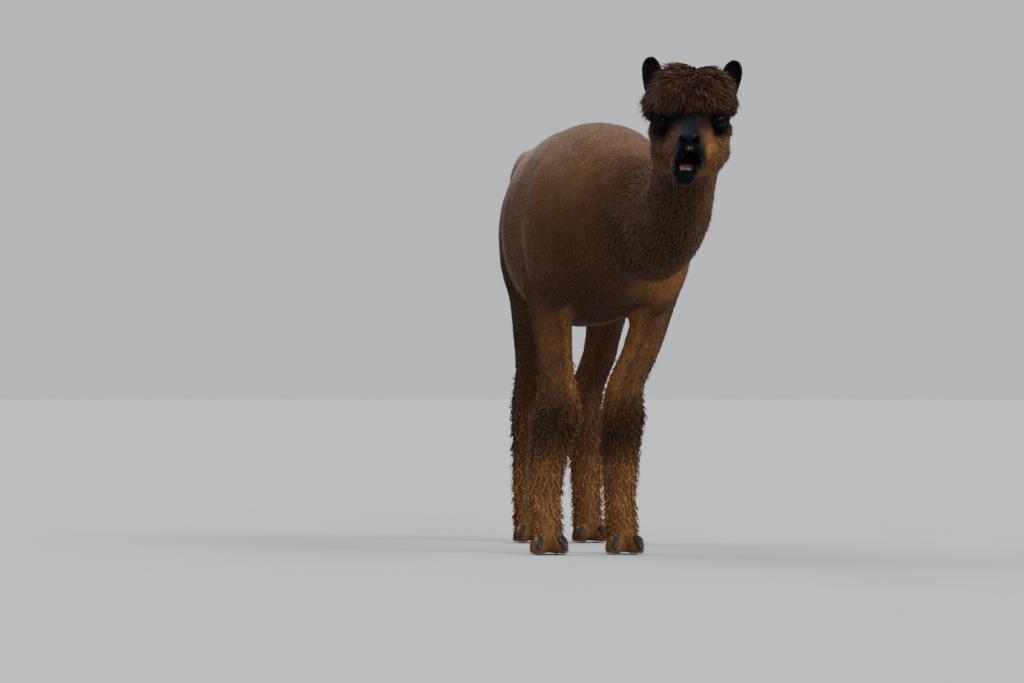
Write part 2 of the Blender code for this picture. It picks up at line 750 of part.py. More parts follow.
def settle(pieces, alpaca):
    """Hangs every piece on an empty, placed so that the origin is the middle of the whole's underside."""
    corners = [v.co for obj in pieces for v in obj.data.vertices]
    low = Vector(min(c[i] for c in corners) for i in range(3))
    high = Vector(max(c[i] for c in corners) for i in range(3))
    stand = bpy.data.objects.new("alpaca_stand", None)
    alpaca.objects.link(stand)
    stand.location = (-(low.x + high.x) / 2, -(low.y + high.y) / 2, -low.z)
    for obj in pieces:
        obj.parent = stand


def main():
    clear_scene()
    alpaca = new_collection("alpaca")
    work = new_collection("work")
    pieces = part_body(melted_body(alpaca, work), alpaca, work)
    add_topknot(pieces, alpaca, work)
    add_eyes_and_ears(pieces, alpaca, work)
    add_mouth(pieces, alpaca, work)
    add_tail(pieces, alpaca, work)
    add_nails(pieces, alpaca, work)
    for obj in pieces.values():
        tidy(obj)
        paint(obj)
    settle(list(pieces.values()), alpaca)
    bpy.context.view_layer.update()


main()
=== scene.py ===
"""A life-size alpaca as a museum model: skin, coat, face and feet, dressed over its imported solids.

Metres, +Z up. The alpaca faces -Y, and +X is its left side.
"""

import json
import math

import bmesh
import bpy
import numpy as np
from bpy.props import FloatProperty, FloatVectorProperty, IntProperty, PointerProperty
from mathutils import Matrix, Vector, noise
from mathutils.bvhtree import BVHTree

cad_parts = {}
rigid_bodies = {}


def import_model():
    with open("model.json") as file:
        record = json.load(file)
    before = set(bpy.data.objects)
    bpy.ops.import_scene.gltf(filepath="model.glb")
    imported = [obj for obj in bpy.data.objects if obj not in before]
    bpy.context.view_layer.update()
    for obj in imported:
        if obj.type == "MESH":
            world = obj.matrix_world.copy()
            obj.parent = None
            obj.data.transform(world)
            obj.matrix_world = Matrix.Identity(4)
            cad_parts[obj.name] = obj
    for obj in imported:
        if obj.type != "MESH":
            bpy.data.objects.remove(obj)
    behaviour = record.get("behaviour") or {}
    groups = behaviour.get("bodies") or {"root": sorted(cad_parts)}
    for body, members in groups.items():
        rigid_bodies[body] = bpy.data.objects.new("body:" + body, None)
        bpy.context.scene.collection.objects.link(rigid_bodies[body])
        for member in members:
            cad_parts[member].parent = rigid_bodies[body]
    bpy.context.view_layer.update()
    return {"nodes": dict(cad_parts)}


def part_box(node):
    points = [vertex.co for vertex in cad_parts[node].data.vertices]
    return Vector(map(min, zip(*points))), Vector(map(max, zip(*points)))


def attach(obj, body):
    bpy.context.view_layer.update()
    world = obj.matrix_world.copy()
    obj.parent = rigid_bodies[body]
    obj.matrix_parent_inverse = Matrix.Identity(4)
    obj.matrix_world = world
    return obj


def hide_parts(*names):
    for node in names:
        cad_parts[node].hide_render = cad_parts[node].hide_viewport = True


bl_info = {
    "name": "Alpaca Model",
    "version": (1, 0, 0),
    "blender": (4, 5, 0),
    "location": "View3D > Sidebar > Alpaca",
    "description": "Dresses the solids of a standing alpaca with its skin, coat, eyes, teeth and nails",
    "category": "Object",
}

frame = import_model()
SIDES = {"left": 1, "right": -1}


# ---------------------------------------------------------------- places taken from the frame
def middle(node):
    low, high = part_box(node)
    return (low + high) / 2


HEAD_NOD = math.radians(1.0)
EYE_MIDDLE = {side: middle("eye_" + side) for side in SIDES}
EYE_RADIUS = (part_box("eye_left")[1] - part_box("eye_left")[0]).z / 2
EYE_AHEAD = 0.007           # how far the eyes' middles lie ahead of the head's own origin
EYE_BELOW = 0.001           # and below it


def head_matrix():
    """The head's own frame: its origin lies between the eyes, -Y runs to the nose and +X to the left ear."""
    across = (EYE_MIDDLE["left"] - EYE_MIDDLE["right"]).normalized()
    turn = Matrix.Rotation(math.atan2(across.y, across.x), 4, "Z") @ Matrix.Rotation(HEAD_NOD, 4, "X")
    between = (EYE_MIDDLE["left"] + EYE_MIDDLE["right"]) / 2
    return Matrix.Translation(between) @ turn @ Matrix.Translation((0.0, EYE_AHEAD, EYE_BELOW))


HEAD = head_matrix()
FLESH = ["head", "lower_jaw", "neck", "trunk", "tail"] + [
    name + side for side in SIDES for name in ("ear_", "foreleg_", "hindleg_", "forefoot_", "hindfoot_")
]
BODY_FLESH = [name for name in FLESH if name not in ("head", "lower_jaw") and not name.startswith("ear_")]


# ---------------------------------------------------------------- mesh helpers
def smoothstep(low, high, value):
    t = np.clip((value - low) / (high - low), 0.0, 1.0)
    return t * t * (3.0 - 2.0 * t)


def read_rows(items, key, width, kind=float):
    """A mesh's own list as rows of `width` numbers."""
    flat = np.empty(len(items) * width, kind)
    items.foreach_get(key, flat)
    return flat.reshape(-1, width)


def read_points(mesh):
    return read_rows(mesh.vertices, "co", 3)


def read_normals(mesh):
    return read_rows(mesh.vertex_normals, "vector", 3)


def write_points(mesh, points):
    mesh.vertices.foreach_set("co", points.astype(np.float32).ravel())
    mesh.update()


NOISE_GAIN = 1.6            # brings Blender's own noise up to nearly -1 to 1


def wander(points, scale, seed):
    """Smooth noise from about -1 to 1 at each point, `scale` swells to the metre."""
    shift = Vector((seed * 7.31, seed * 3.17, seed * 5.73))
    return np.array([noise.noise(Vector(p) * scale + shift) for p in points]) * NOISE_GAIN


def turned(matrix, points):
    """Points as seen in another frame."""
    m = np.array(matrix)
    return points @ m[:3, :3].T + m[:3, 3]


def new_object(name, mesh):
    obj = bpy.data.objects.new(name, mesh)
    bpy.context.scene.collection.objects.link(obj)
    return obj


def object_from(name, bm):
    mesh = bpy.data.meshes.new(name)
    bm.to_mesh(mesh)
    bm.free()
    return new_object(name, mesh)


def opened(mesh):
    """The mesh as a bmesh, to be worked on."""
    bm = bmesh.new()
    bm.from_mesh(mesh)
    return bm


def put_back(bm, mesh):
    bm.to_mesh(mesh)
    bm.free()


def take_in(bm, part):
    """Moves another bmesh's faces into this one."""
    mesh = bpy.data.meshes.new("part")
    put_back(part, mesh)
    bm.from_mesh(mesh)
    bpy.data.meshes.remove(mesh)


def shade_smooth(bm):
    for face in bm.faces:
        face.smooth = True


def relax(obj, rounds, factor=0.5, group=""):
    """Smooths the object, or only its points in a vertex group, and applies its modifiers."""
    modifier = obj.modifiers.new("Relax", "SMOOTH")
    modifier.iterations = rounds
    modifier.factor = factor
    modifier.vertex_group = group
    return evaluate(obj)


def evaluate(obj):
    """Applies the object's modifiers to its mesh."""
    bpy.context.view_layer.update()
    graph = bpy.context.evaluated_depsgraph_get()
    mesh = bpy.data.meshes.new_from_object(obj.evaluated_get(graph))
    obj.modifiers.clear()
    obj.data = mesh
    mesh.name = obj.name
    return obj


def melt(obj, voxel, relaxing):
    """Overlapping closed shapes made one skin, and relaxed a little."""
    remesh = obj.modifiers.new("Melt", "REMESH")
    remesh.mode = "VOXEL"
    remesh.voxel_size = voxel
    return relax(obj, relaxing)


def thin(obj, triangles):
    """Thinned to about this many triangles."""
    obj.data.calc_loop_triangles()
    collapse = obj.modifiers.new("Thin", "DECIMATE")
    collapse.ratio = min(1.0, triangles / len(obj.data.loop_triangles))
    return evaluate(obj)


def catmull_rom(rows, steps):
    """Rows of numbers, smoothly filled in with `steps` rows for each span."""
    filled = []
    last = len(rows) - 1
    for i in range(last):
        near = [np.array(rows[k], float) for k in (max(i - 1, 0), i, i + 1, min(i + 2, last))]
        p, q, r, s = near
        for t in np.arange(steps) / steps:
            curve = (2 * p - 5 * q + 4 * r - s) * t**2 + (3 * q - p - 3 * r + s) * t**3
            filled.append(0.5 * (2 * q + (r - p) * t + curve))
    filled.append(np.array(rows[last], float))
    return filled


def add_bands(bm, loops):
    """Faces between each loop of points and the next."""
    count = len(loops[0])
    return [bm.faces.new((low[k], low[(k + 1) % count], high[(k + 1) % count], high[k]))
            for low, high in zip(loops, loops[1:]) for k in range(count)]


def add_fan(bm, loop, point):
    """Faces from a loop of points to a single point."""
    count = len(loop)
    return [bm.faces.new((loop[k], loop[(k + 1) % count], point)) for k in range(count)]


def add_rings(bm, rings):
    """A closed surface over rings of points, each end drawn to its ring's centre."""
    loops = [[bm.verts.new(p) for p in ring] for ring in rings]
    made = add_bands(bm, loops)
    for loop in (loops[0], loops[-1]):
        centre = bm.verts.new(sum((v.co for v in loop), Vector()) / len(loop))
        made += add_fan(bm, loop, centre)
    bmesh.ops.recalc_face_normals(bm, faces=made)


def oval(half, tall, sides, square):
    """A closed section. `square` over 2 boxes it."""
    angles = math.tau * np.arange(sides) / sides
    across = np.sign(np.cos(angles)) * np.abs(np.cos(angles)) ** (2 / square)
    up = np.sign(np.sin(angles)) * np.abs(np.sin(angles)) ** (2 / square)
    return half * across, tall * up


def add_tube(bm, stations, steps=4, sides=20, across=(1.0, 0.0, 0.0)):
    """A loft along a path. A station is (x, y, z, half width across, half depth)."""
    rows = catmull_rom(stations, steps)
    rings = []
    for i, row in enumerate(rows):
        along = rows[min(i + 1, len(rows) - 1)][:3] - rows[max(i - 1, 0)][:3]
        along /= np.linalg.norm(along)
        side = np.array(across) - np.dot(across, along) * along
        side /= np.linalg.norm(side)
        a, b = oval(row[3], row[4], sides, 2.0)
        rings.append(row[:3] + np.outer(a, side) + np.outer(b, np.cross(along, side)))
    add_rings(bm, rings)


def add_barrel(bm, stations, square=2.2, steps=5, sides=32):
    """A loft along Y. A station is (y, half width, top, bottom, centre x)."""
    rings = []
    for y, half, top, bottom, x in catmull_rom(stations, steps):
        a, b = oval(half, (top - bottom) / 2, sides, square)
        rings.append(np.column_stack((x + a, np.full(sides, y), (top + bottom) / 2 + b)))
    add_rings(bm, rings)


def add_ball(bm, centre, radii):
    place = Matrix.Translation(centre) @ Matrix.Diagonal((*radii, 1.0))
    bmesh.ops.create_uvsphere(bm, u_segments=24, v_segments=14, radius=1.0, matrix=place)


WELD = 1e-5                 # a solid's points that lie nearer than this are one


def cad_shapes(nodes, grow=0.0):
    """Solids' shapes with their loose triangles joined up, each stood `grow` further out."""
    bm = bmesh.new()
    for node in nodes:
        part = opened(frame["nodes"][node].data)
        bmesh.ops.remove_doubles(part, verts=part.verts, dist=WELD)
        part.normal_update()
        moved = [v.co + v.normal * grow for v in part.verts]
        for vert, co in zip(part.verts, moved):
            vert.co = co
        take_in(bm, part)
    return bm


# ---------------------------------------------------------------- the skin
MASS_VOXEL = 0.0034         # how finely the head's masses, its details and the body are melted
HEAD_VOXEL = 0.0016
BODY_VOXEL = 0.0055
MASS_RELAXING = 14          # rounds of smoothing after each
HEAD_RELAXING = 5
BODY_RELAXING = 10
HEAD_TRIANGLES = 95000
BODY_TRIANGLES = 60000
OVERLAP = 0.0012            # closes the clearance between neighbouring solids
COAT_DEPTH = {"body": 0.0065, "foot": 0.0028, "tail": 0.010}   # how far the skin lies inside the solids
SOLE_SKIN = 0.0006          # the soles' height over the floor
FOLDS_PER_METRE = 17.0      # the flanks' soft folds
FOLD_DEPTH = 0.0020
JAW_X = -0.009              # the jaw hangs a little to the alpaca's right, mid chew
SKULL = (                   # y, half width, top, bottom, centre x, in the head's frame
    (0.118, 0.030, 0.000, -0.045, 0.0),
    (0.095, 0.052, 0.034, -0.070, 0.0),
    (0.060, 0.067, 0.050, -0.089, 0.0),
    (0.022, 0.065, 0.047, -0.093, 0.0),
    (-0.012, 0.0500, 0.031, -0.086, 0.0),
    (-0.042, 0.0395, 0.0140, -0.0760, 0.0),
    (-0.075, 0.0333, -0.0020, -0.0695, 0.0),
    (-0.105, 0.0275, -0.0145, -0.0680, 0.0),
    (-0.130, 0.0240, -0.0250, -0.0670, 0.0),
    (-0.146, 0.0195, -0.0335, -0.0645, 0.0),
    (-0.1535, 0.0120, -0.0420, -0.0600, 0.0),
)
JAW = (                     # the same
    (0.060, 0.040, -0.055, -0.099, 0.0),
    (0.020, 0.038, -0.065, -0.105, 0.0),
    (-0.030, 0.030, -0.078, -0.112, 0.3 * JAW_X),
    (-0.070, 0.0250, -0.0885, -0.1195, 0.7 * JAW_X),
    (-0.100, 0.0235, -0.0950, -0.1260, JAW_X),
    (-0.118, 0.0220, -0.0980, -0.1290, JAW_X),
    (-0.1290, 0.0185, -0.1020, -0.1275, JAW_X),
    (-0.1345, 0.0110, -0.1080, -0.1230, JAW_X),
)
NECK_TOP = (                # x, y, z, half width and half depth in the model's frame, up into the skull
    (0.099, -0.420, 0.757, 0.056, 0.070),
    (0.098, -0.478, 0.810, 0.061, 0.070),
    (0.095, -0.523, 0.838, 0.057, 0.059),
    (0.091, -0.558, 0.851, 0.040, 0.040),
)
MIDDLE_BALLS = (            # centre, radii, on the head's middle line
    ((0.0, -0.015, -0.082), (0.030, 0.060, 0.022)),           # back of the mouth
    ((0.003, 0.024, 0.042), (0.080, 0.074, 0.062)),           # the mop's dense wool: its dome,
    ((0.000, -0.020, 0.030), (0.046, 0.034, 0.026)),          # its fringe
    ((0.000, 0.070, 0.034), (0.070, 0.054, 0.054)),           # and its ruff behind
)
MASS_BALLS = (              # one side's large soft forms
    ((0.043, 0.012, 0.018), (0.026, 0.027, 0.0125)),          # brow
    ((0.0395, 0.030, -0.052), (0.0330, 0.056, 0.0410)),       # cheek
    ((0.030, -0.018, -0.058), (0.0220, 0.048, 0.0270)),       # cheek's run into the muzzle
    ((0.055, 0.028, 0.034), (0.032, 0.040, 0.034)),           # the mop's fall beside the ear
    ((0.0490, 0.040, -0.014), (0.0280, 0.042, 0.034)),        # temple
    ((0.0140, -0.1320, -0.0570), (0.0105, 0.0150, 0.0155)),   # the lip under the nostril
    ((0.0205, -0.096, -0.0640), (0.0105, 0.0380, 0.0105)),    # upper lip along the side
)
DETAIL_BALLS = (            # one side's small forms, melted in afterwards
    ((0.0480, 0.012, 0.000), (0.0250, 0.0235, 0.0220)),       # rim of the eye socket
    ((0.0138, -0.1385, -0.0430), (0.0102, 0.0160, 0.0125)),   # nostril's wing
    ((0.0195, -0.1260, -0.0700), (0.0100, 0.0165, 0.0105)),   # upper lip's lobe
    ((0.0018, -0.1490, -0.0610), (0.0050, 0.0075, 0.0042)),   # the shelf between the nostrils
)
MOUTH_CORNER_BALLS = (      # one side, from midway between the head's middle line and the jaw's
    ((0.0235, -0.064, -0.0805), (0.0095, 0.0380, 0.0130)),
)
LOWER_LIP_BALLS = (         # one side of the lower lip's rim, from the jaw's middle line
    ((0.0070, -0.1255, -0.1085), (0.0110, 0.0070, 0.0058)),
    ((0.0180, -0.1180, -0.1030), (0.0068, 0.0110, 0.0080)),
    ((0.0205, -0.1030, -0.0970), (0.0060, 0.0140, 0.0100)),
)
EAR_ROOT = Vector((0.0655, 0.054, 0.034))    # in the head's frame, with the right ear's as on the left
EAR_TIP = {"left": Vector((0.0895, 0.057, 0.1210)), "right": Vector((0.0795, 0.057, 0.1290))}
EAR_ROWS = (                # share of the ear's length, of its width and of its depth
    (0.0, 0.60, 0.95),
    (0.2, 0.88, 1.0),
    (0.45, 1.0, 0.95),
    (0.7, 1.0, 0.80),
    (0.88, 0.80, 0.60),
    (1.0, 0.36, 0.3),
)
EAR_HALF_WIDTH = 0.0205
EAR_HALF_DEPTH = 0.0095
EAR_HOLLOW = 0.0125
LID = 0.0022                # the lids' thickness over the eyeball
EYE_OUT = math.radians(24)  # the eyes look this far out to their side
EYE_WIDE = math.radians(47)  # half the opening between the lids, across
EYE_HIGH = math.radians(26)  # and up
EYE_REACH = 0.029           # the lids end this far from the eye's middle
LID_RIM = 0.0004            # how far the lids' rims stand out
UNDER_LIDS = 0.0022         # how far the skin behind the eyeball's front lies inside it
NOSTRIL_OUTER = (0.0145, -0.1500, -0.0410)   # one side's nostril: its outer end,
NOSTRIL_RUN = (-0.0070, 0.0, -0.0075)        # the way from there to its inner end,
NOSTRIL_RADII = (0.0040, 0.016, 0.0042)      # its reach around that line
NOSTRIL_PRESS = (-0.0005, 0.0065, 0.0)       # and how far each of its steps is pressed in
NOSTRIL_STEPS = 5
WING_MIDDLE = (0.0165, -0.147, -0.0375)      # the raised rim over the nostril
WING_RADII = (0.008, 0.012, 0.006)
WING_LIFT = (0.0010, -0.0016, 0.0012)
LIP_GROOVE = ((0.0, -0.158, -0.048), (0.0, -0.156, -0.060), (0.0, -0.150, -0.072))
LIP_GROOVE_WIDTH = 0.0028
LIP_GROOVE_DEPTH = 0.0022
LIP_SPLIT_DEPTH = 0.016
MOUTH_FLOOR = (JAW_X, -0.086, -0.091)
MOUTH_FLOOR_RADII = (0.0180, 0.0310, 0.025)
MOUTH_FLOOR_DEPTH = 0.0115
UNDER_EYE_FOLD = ((0.036, -0.030, -0.016), (0.050, -0.026, -0.0260), (0.066, -0.012, -0.0235))
OVER_EYE_FOLD = ((0.036, -0.026, 0.013), (0.050, -0.024, 0.0215), (0.066, -0.006, 0.0190))
NOSTRIL_FOLD = ((0.024, -0.118, -0.028), (0.028, -0.125, -0.046), (0.030, -0.118, -0.060))
LIP_FOLD = ((0.030, -0.100, -0.066), (0.031, -0.080, -0.072), (0.031, -0.062, -0.078))
FACE_FOLDS = (              # one side: each fold's path, width and depth
    (UNDER_EYE_FOLD, 0.0022, 0.0013),
    (OVER_EYE_FOLD, 0.0024, 0.0013),
    (NOSTRIL_FOLD, 0.0035, 0.0018),
    (LIP_FOLD, 0.0030, 0.0022),
)


def ear_ends(side):
    root, tip = EAR_ROOT.copy(), EAR_TIP[side].copy()
    root.x *= SIDES[side]
    tip.x *= SIDES[side]
    return root, tip


def add_pairs(bm, balls, shift=0.0):
    """A ball on each side of a middle line, which lies `shift` off the head's."""
    for (x, y, z), radii in balls:
        for sign in SIDES.values():
            add_ball(bm, (shift + sign * x, y, z), radii)


def head_masses():
    """Skull, jaw, cheeks and the wool under the mop, melted soft, a coat's depth inside the solids."""
    bm = bmesh.new()
    add_barrel(bm, SKULL)
    add_barrel(bm, JAW, square=1.9)
    for centre, radii in MIDDLE_BALLS:
        add_ball(bm, centre, radii)
    add_pairs(bm, MASS_BALLS)
    bm.transform(HEAD)
    add_tube(bm, NECK_TOP, sides=28)
    return melt(object_from("head_skin", bm), MASS_VOXEL, MASS_RELAXING)


def add_head_details(obj):
    """Melts eye sockets, nostrils, lips and ears into the masses."""
    bm = bmesh.new()
    add_pairs(bm, DETAIL_BALLS)
    add_pairs(bm, MOUTH_CORNER_BALLS, 0.5 * JAW_X)
    add_pairs(bm, LOWER_LIP_BALLS, JAW_X)
    for side in SIDES:
        add_ball(bm, HEAD.inverted() @ EYE_MIDDLE[side], (EYE_RADIUS + LID,) * 3)
        root, tip = ear_ends(side)
        rows = [(*root.lerp(tip, t), EAR_HALF_WIDTH * w, EAR_HALF_DEPTH * d) for t, w, d in EAR_ROWS]
        add_tube(bm, rows, steps=3, sides=16)
    bm.transform(HEAD)
    bm.from_mesh(obj.data)
    put_back(bm, obj.data)
    return melt(obj, HEAD_VOXEL, HEAD_RELAXING)


def ball_weight(points, centre, radii, power=1.0):
    """1 at the centre, falling smoothly to 0 at the radii."""
    away = np.linalg.norm((points - np.array(centre)) / np.array(radii), axis=1)
    return smoothstep(1.0, 0.0, away) ** power


def path_distance(points, path):
    """How far each point is from a line of points."""
    best = np.full(len(points), 1e9)
    for a, b in zip(path, path[1:]):
        a, b = np.array(a), np.array(b)
        t = np.clip((points - a) @ (b - a) / np.dot(b - a, b - a), 0.0, 1.0)
        best = np.minimum(best, np.linalg.norm(points - a - np.outer(t, b - a), axis=1))
    return best


def mirrored(place, sign):
    """One side's place, on the side that the sign names."""
    return np.array(place) * (sign, 1.0, 1.0)


def eye_frame(side):
    """The eye's own frame: +Y runs along its gaze, +X across it and +Z up."""
    middle_of_eye = Matrix.Translation(HEAD.inverted() @ EYE_MIDDLE[side])
    return HEAD @ middle_of_eye @ Matrix.Rotation(math.pi + SIDES[side] * EYE_OUT, 4, "Z")


def lid_opening(points, side):
    """A number below 1 inside the opening between the lids, and the distance from the eye's middle."""
    local = turned(eye_frame(side).inverted(), points)
    away = np.linalg.norm(local, axis=1)
    across = np.arctan2(local[:, 0], local[:, 1]) / EYE_WIDE
    up = np.arcsin(np.clip(local[:, 2] / np.maximum(away, 1e-6), -1, 1))
    lid = EYE_HIGH * np.where(up > 0, 0.92, 1.0) * np.sqrt(np.clip(1.0 - across**2, 0.02, 1.0))
    return np.maximum(np.abs(up) / lid, np.abs(across)), away


def refine(obj, chosen):
    """Splits the faces whose middles chosen(points) picks."""
    bm = opened(obj.data)
    middles = np.array([f.calc_center_median() for f in bm.faces])
    picked = chosen(turned(HEAD.inverted(), middles))
    edges = {e for f, inside in zip(bm.faces, picked) if inside for e in f.edges}
    bmesh.ops.subdivide_edges(bm, edges=list(edges), cuts=1, use_grid_fill=True)
    bmesh.ops.triangulate(bm, faces=bm.faces)
    put_back(bm, obj.data)


def near_details(p):
    """The eyes, nostrils and lips, where the skin is modelled finest."""
    eyes = [np.linalg.norm(p - np.array(HEAD.inverted() @ EYE_MIDDLE[s]), axis=1) < EYE_REACH for s in SIDES]
    muzzle = (p[:, 1] < -0.112) & (np.abs(p[:, 0]) < 0.036)
    return eyes[0] | eyes[1] | muzzle


def open_nostril(p, sign):
    """Presses in a slit that slants down to the middle, and raises the wing's rim over it."""
    for t in np.linspace(0.0, 1.0, NOSTRIL_STEPS):
        spot = mirrored(np.array(NOSTRIL_OUTER) + t * np.array(NOSTRIL_RUN), sign)
        w = ball_weight(p, spot, NOSTRIL_RADII, 0.8)
        p += w[:, None] * mirrored(NOSTRIL_PRESS, sign)
    w = ball_weight(p, mirrored(WING_MIDDLE, sign), WING_RADII)
    p += w[:, None] * mirrored(WING_LIFT, sign)


def hollow_ear(p, side):
    """Presses in the ear's front, but for its rims."""
    root, tip = ear_ends(side)
    along = np.array(tip - root)
    t = np.clip((p - np.array(root)) @ along / np.dot(along, along), 0.0, 1.0)
    off = p - (np.array(root) + np.outer(t, along))
    half = EAR_HALF_WIDTH * 0.92 * np.sin(np.pi * (0.18 + 0.72 * t))
    inside = smoothstep(1.0, 0.55, np.abs(off[:, 0]) / half)
    reach = smoothstep(0.02, 0.16, t) * smoothstep(1.0, 0.84, t) * (off[:, 1] < 0.002)
    near = np.linalg.norm(off, axis=1) < 0.03
    p[:, 1] += EAR_HOLLOW * inside * reach * near * (p[:, 2] > 0.03)


def split_lip(p):
    """The groove between the nostrils, and the split that widens down through the upper lip."""
    d = path_distance(p, LIP_GROOVE)
    p[:, 1] += LIP_GROOVE_DEPTH * np.exp(-(d / LIP_GROOVE_WIDTH) ** 2)
    gap = (p[:, 2] < -0.065) & (p[:, 2] > -0.090) & (p[:, 1] < -0.112)
    width = 0.0010 + 0.0100 * smoothstep(-0.067, -0.080, p[:, 2])
    p[:, 1] += LIP_SPLIT_DEPTH * gap * smoothstep(1.25, 0.7, np.abs(p[:, 0] - 0.001) / width)


def sink_mouth(p):
    """The mouth's floor behind the lower lip."""
    w = ball_weight(p, MOUTH_FLOOR, MOUTH_FLOOR_RADII, 0.6) * (p[:, 2] > -0.112)
    p[:, 2] -= MOUTH_FLOOR_DEPTH * w


def open_lids(p):
    """Raises the lids' rims, and draws the skin between them in behind the eyeball's front."""
    for side in SIDES:
        opening, away = lid_opening(p, side)
        outwards = (p - np.array(EYE_MIDDLE[side])) / np.maximum(away, 1e-6)[:, None]
        rim = np.exp(-((opening - 1.12) / 0.10) ** 2) * smoothstep(EYE_REACH, 0.022, away)
        sunk = smoothstep(1.04, 0.94, opening) * (away < 0.026)
        p += outwards * (LID_RIM * rim)[:, None]
        p += outwards * (sunk * (EYE_RADIUS - UNDER_LIDS - away))[:, None]


def carve_head(obj):
    """Nostrils, ear hollows, split upper lip, mouth, folds and lids."""
    mesh = obj.data
    p = turned(HEAD.inverted(), read_points(mesh))
    for side, sign in SIDES.items():
        open_nostril(p, sign)
        hollow_ear(p, side)
    split_lip(p)
    sink_mouth(p)
    # the folds are pressed in along the carved skin's own normals
    write_points(mesh, turned(HEAD, p))
    n = turned(HEAD.inverted().to_3x3().to_4x4(), read_normals(mesh))
    for sign in SIDES.values():
        for path, width, depth in FACE_FOLDS:
            away = path_distance(p, [mirrored(spot, sign) for spot in path])
            p -= n * (depth * np.exp(-(away / width) ** 2))[:, None]
    p = turned(HEAD, p)
    open_lids(p)
    write_points(mesh, p)


def make_head():
    head = add_head_details(head_masses())
    refine(head, near_details)
    carve_head(head)
    return thin(relax(head, 1, 0.4), HEAD_TRIANGLES)


def make_body():
    """Trunk, neck, legs, feet and tail: the solids' shapes in one, drawn in by the coat's depth."""
    body = melt(object_from("body_skin", cad_shapes(BODY_FLESH, OVERLAP)), BODY_VOXEL, BODY_RELAXING)
    p = read_points(body.data)
    z = p[:, 2]
    # the feet wear the thinnest coat, the trunk a short one and the tail the deepest
    depth = COAT_DEPTH["foot"] + (COAT_DEPTH["body"] - COAT_DEPTH["foot"]) * smoothstep(0.045, 0.12, z)
    tail_low, tail_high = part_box("tail")
    on_tail = smoothstep(tail_low.y + 0.03, tail_high.y - 0.03, p[:, 1])
    depth += (COAT_DEPTH["tail"] - COAT_DEPTH["body"]) * on_tail
    # loose skin: soft folds that hang down the flanks
    folds = wander(p * np.array((1.0, 1.0, 0.32)), FOLDS_PER_METRE, 8)
    depth -= FOLD_DEPTH * folds * smoothstep(0.10, 0.40, z)
    p -= read_normals(body.data) * (depth + OVERLAP)[:, None]
    p[:, 2] = np.maximum(p[:, 2], SOLE_SKIN)
    write_points(body.data, p)
    return thin(body, BODY_TRIANGLES)


def blend_collar(skin):
    """Relaxes the seam where the head's skin meets the neck's."""
    p = read_points(skin.data)
    away = path_distance(p, [row[:3] for row in NECK_TOP[:2]])
    near = smoothstep(-0.400, -0.440, p[:, 1]) * smoothstep(-0.540, -0.500, p[:, 1]) * (away < 0.12)
    group = skin.vertex_groups.new(name="collar")
    for index in np.nonzero(near > 0.01)[0]:
        group.add([int(index)], float(near[index]), "REPLACE")
    relax(skin, 25, group=group.name)
    skin.vertex_groups.clear()


def make_skin():
    """The head's skin and the body's in one."""
    head, body = make_head(), make_body()
    union = body.modifiers.new("Union", "BOOLEAN")
    union.operation = "UNION"
    union.solver = "MANIFOLD"
    union.object = head
    skin = evaluate(body)
    bpy.data.objects.remove(head)
    skin.name = "skin"
    blend_collar(skin)
    bm = opened(skin.data)
    bmesh.ops.triangulate(bm, faces=bm.faces)
    shade_smooth(bm)
    put_back(bm, skin.data)
    return skin


# ---------------------------------------------------------------- the lie of the coat and its markings
NECK_LINE = (               # the neck's middle, from the head down into the trunk
    (0.099, -0.545, 0.860),
    (0.099, -0.475, 0.805),
    (0.097, -0.375, 0.715),
    (0.083, -0.275, 0.686),
    (0.030, -0.120, 0.640),
)
BACK = np.array((0.0, 1.0, 0.0))
DOWN = np.array((0.0, 0.0, -1.0))
TRUNK_LIE = np.array((0.0, 1.0, -0.42))
LEG_LIE = np.array((0.0, 0.20, -1.0))
FOOT_LIE = np.array((0.0, -0.5, -1.0))
NECK_DROOP = 0.45           # how much the neck's hair hangs from its course
PARTING = (0.0125, 0.030, 0.112)   # where the mop's locks part, in the head's frame
PARTING_RUN = (-0.035, 0.040)      # how far the parting runs from there, forward and back
FRINGE = (                  # x across the brow, and the height to which the mop's tips fall there
    (-0.110, -0.010),
    (-0.085, -0.004),
    (-0.066, 0.012),
    (-0.040, 0.014),
    (0.0, 0.002),
    (0.040, 0.014),
    (0.066, 0.014),
    (0.085, 0.004),
    (0.110, 0.000),
)
NAPE_Z = -0.030             # the height to which they fall behind
MOP_LENGTH = 0.034
MUZZLE = (                  # height in the head's frame, and half the dark muzzle's width there
    (-0.098, 0.0190),
    (-0.085, 0.0300),
    (-0.060, 0.0280),
    (-0.045, 0.0240),
    (-0.020, 0.0185),
    (0.000, 0.0165),
)
EYE_PATCH = (0.036, 0.038, 0.0330)   # the dark rings' reach around the eyes
NOSE_TIP = (0.0, -0.153, -0.060)
NOSE_RADII = (0.013, 0.014, 0.010)


def soften(values, pairs, rounds):
    """Each point's value is drawn towards its neighbours'."""
    count = len(values)
    near = np.maximum(np.bincount(pairs.ravel(), minlength=count), 1)
    columns = values.reshape(count, -1).copy()
    for _ in range(rounds):
        for k in range(columns.shape[1]):
            total = np.bincount(pairs[:, 0], columns[pairs[:, 1], k], count)
            total += np.bincount(pairs[:, 1], columns[pairs[:, 0], k], count)
            columns[:, k] = 0.5 * columns[:, k] + 0.5 * total / near
    return columns.reshape(values.shape)


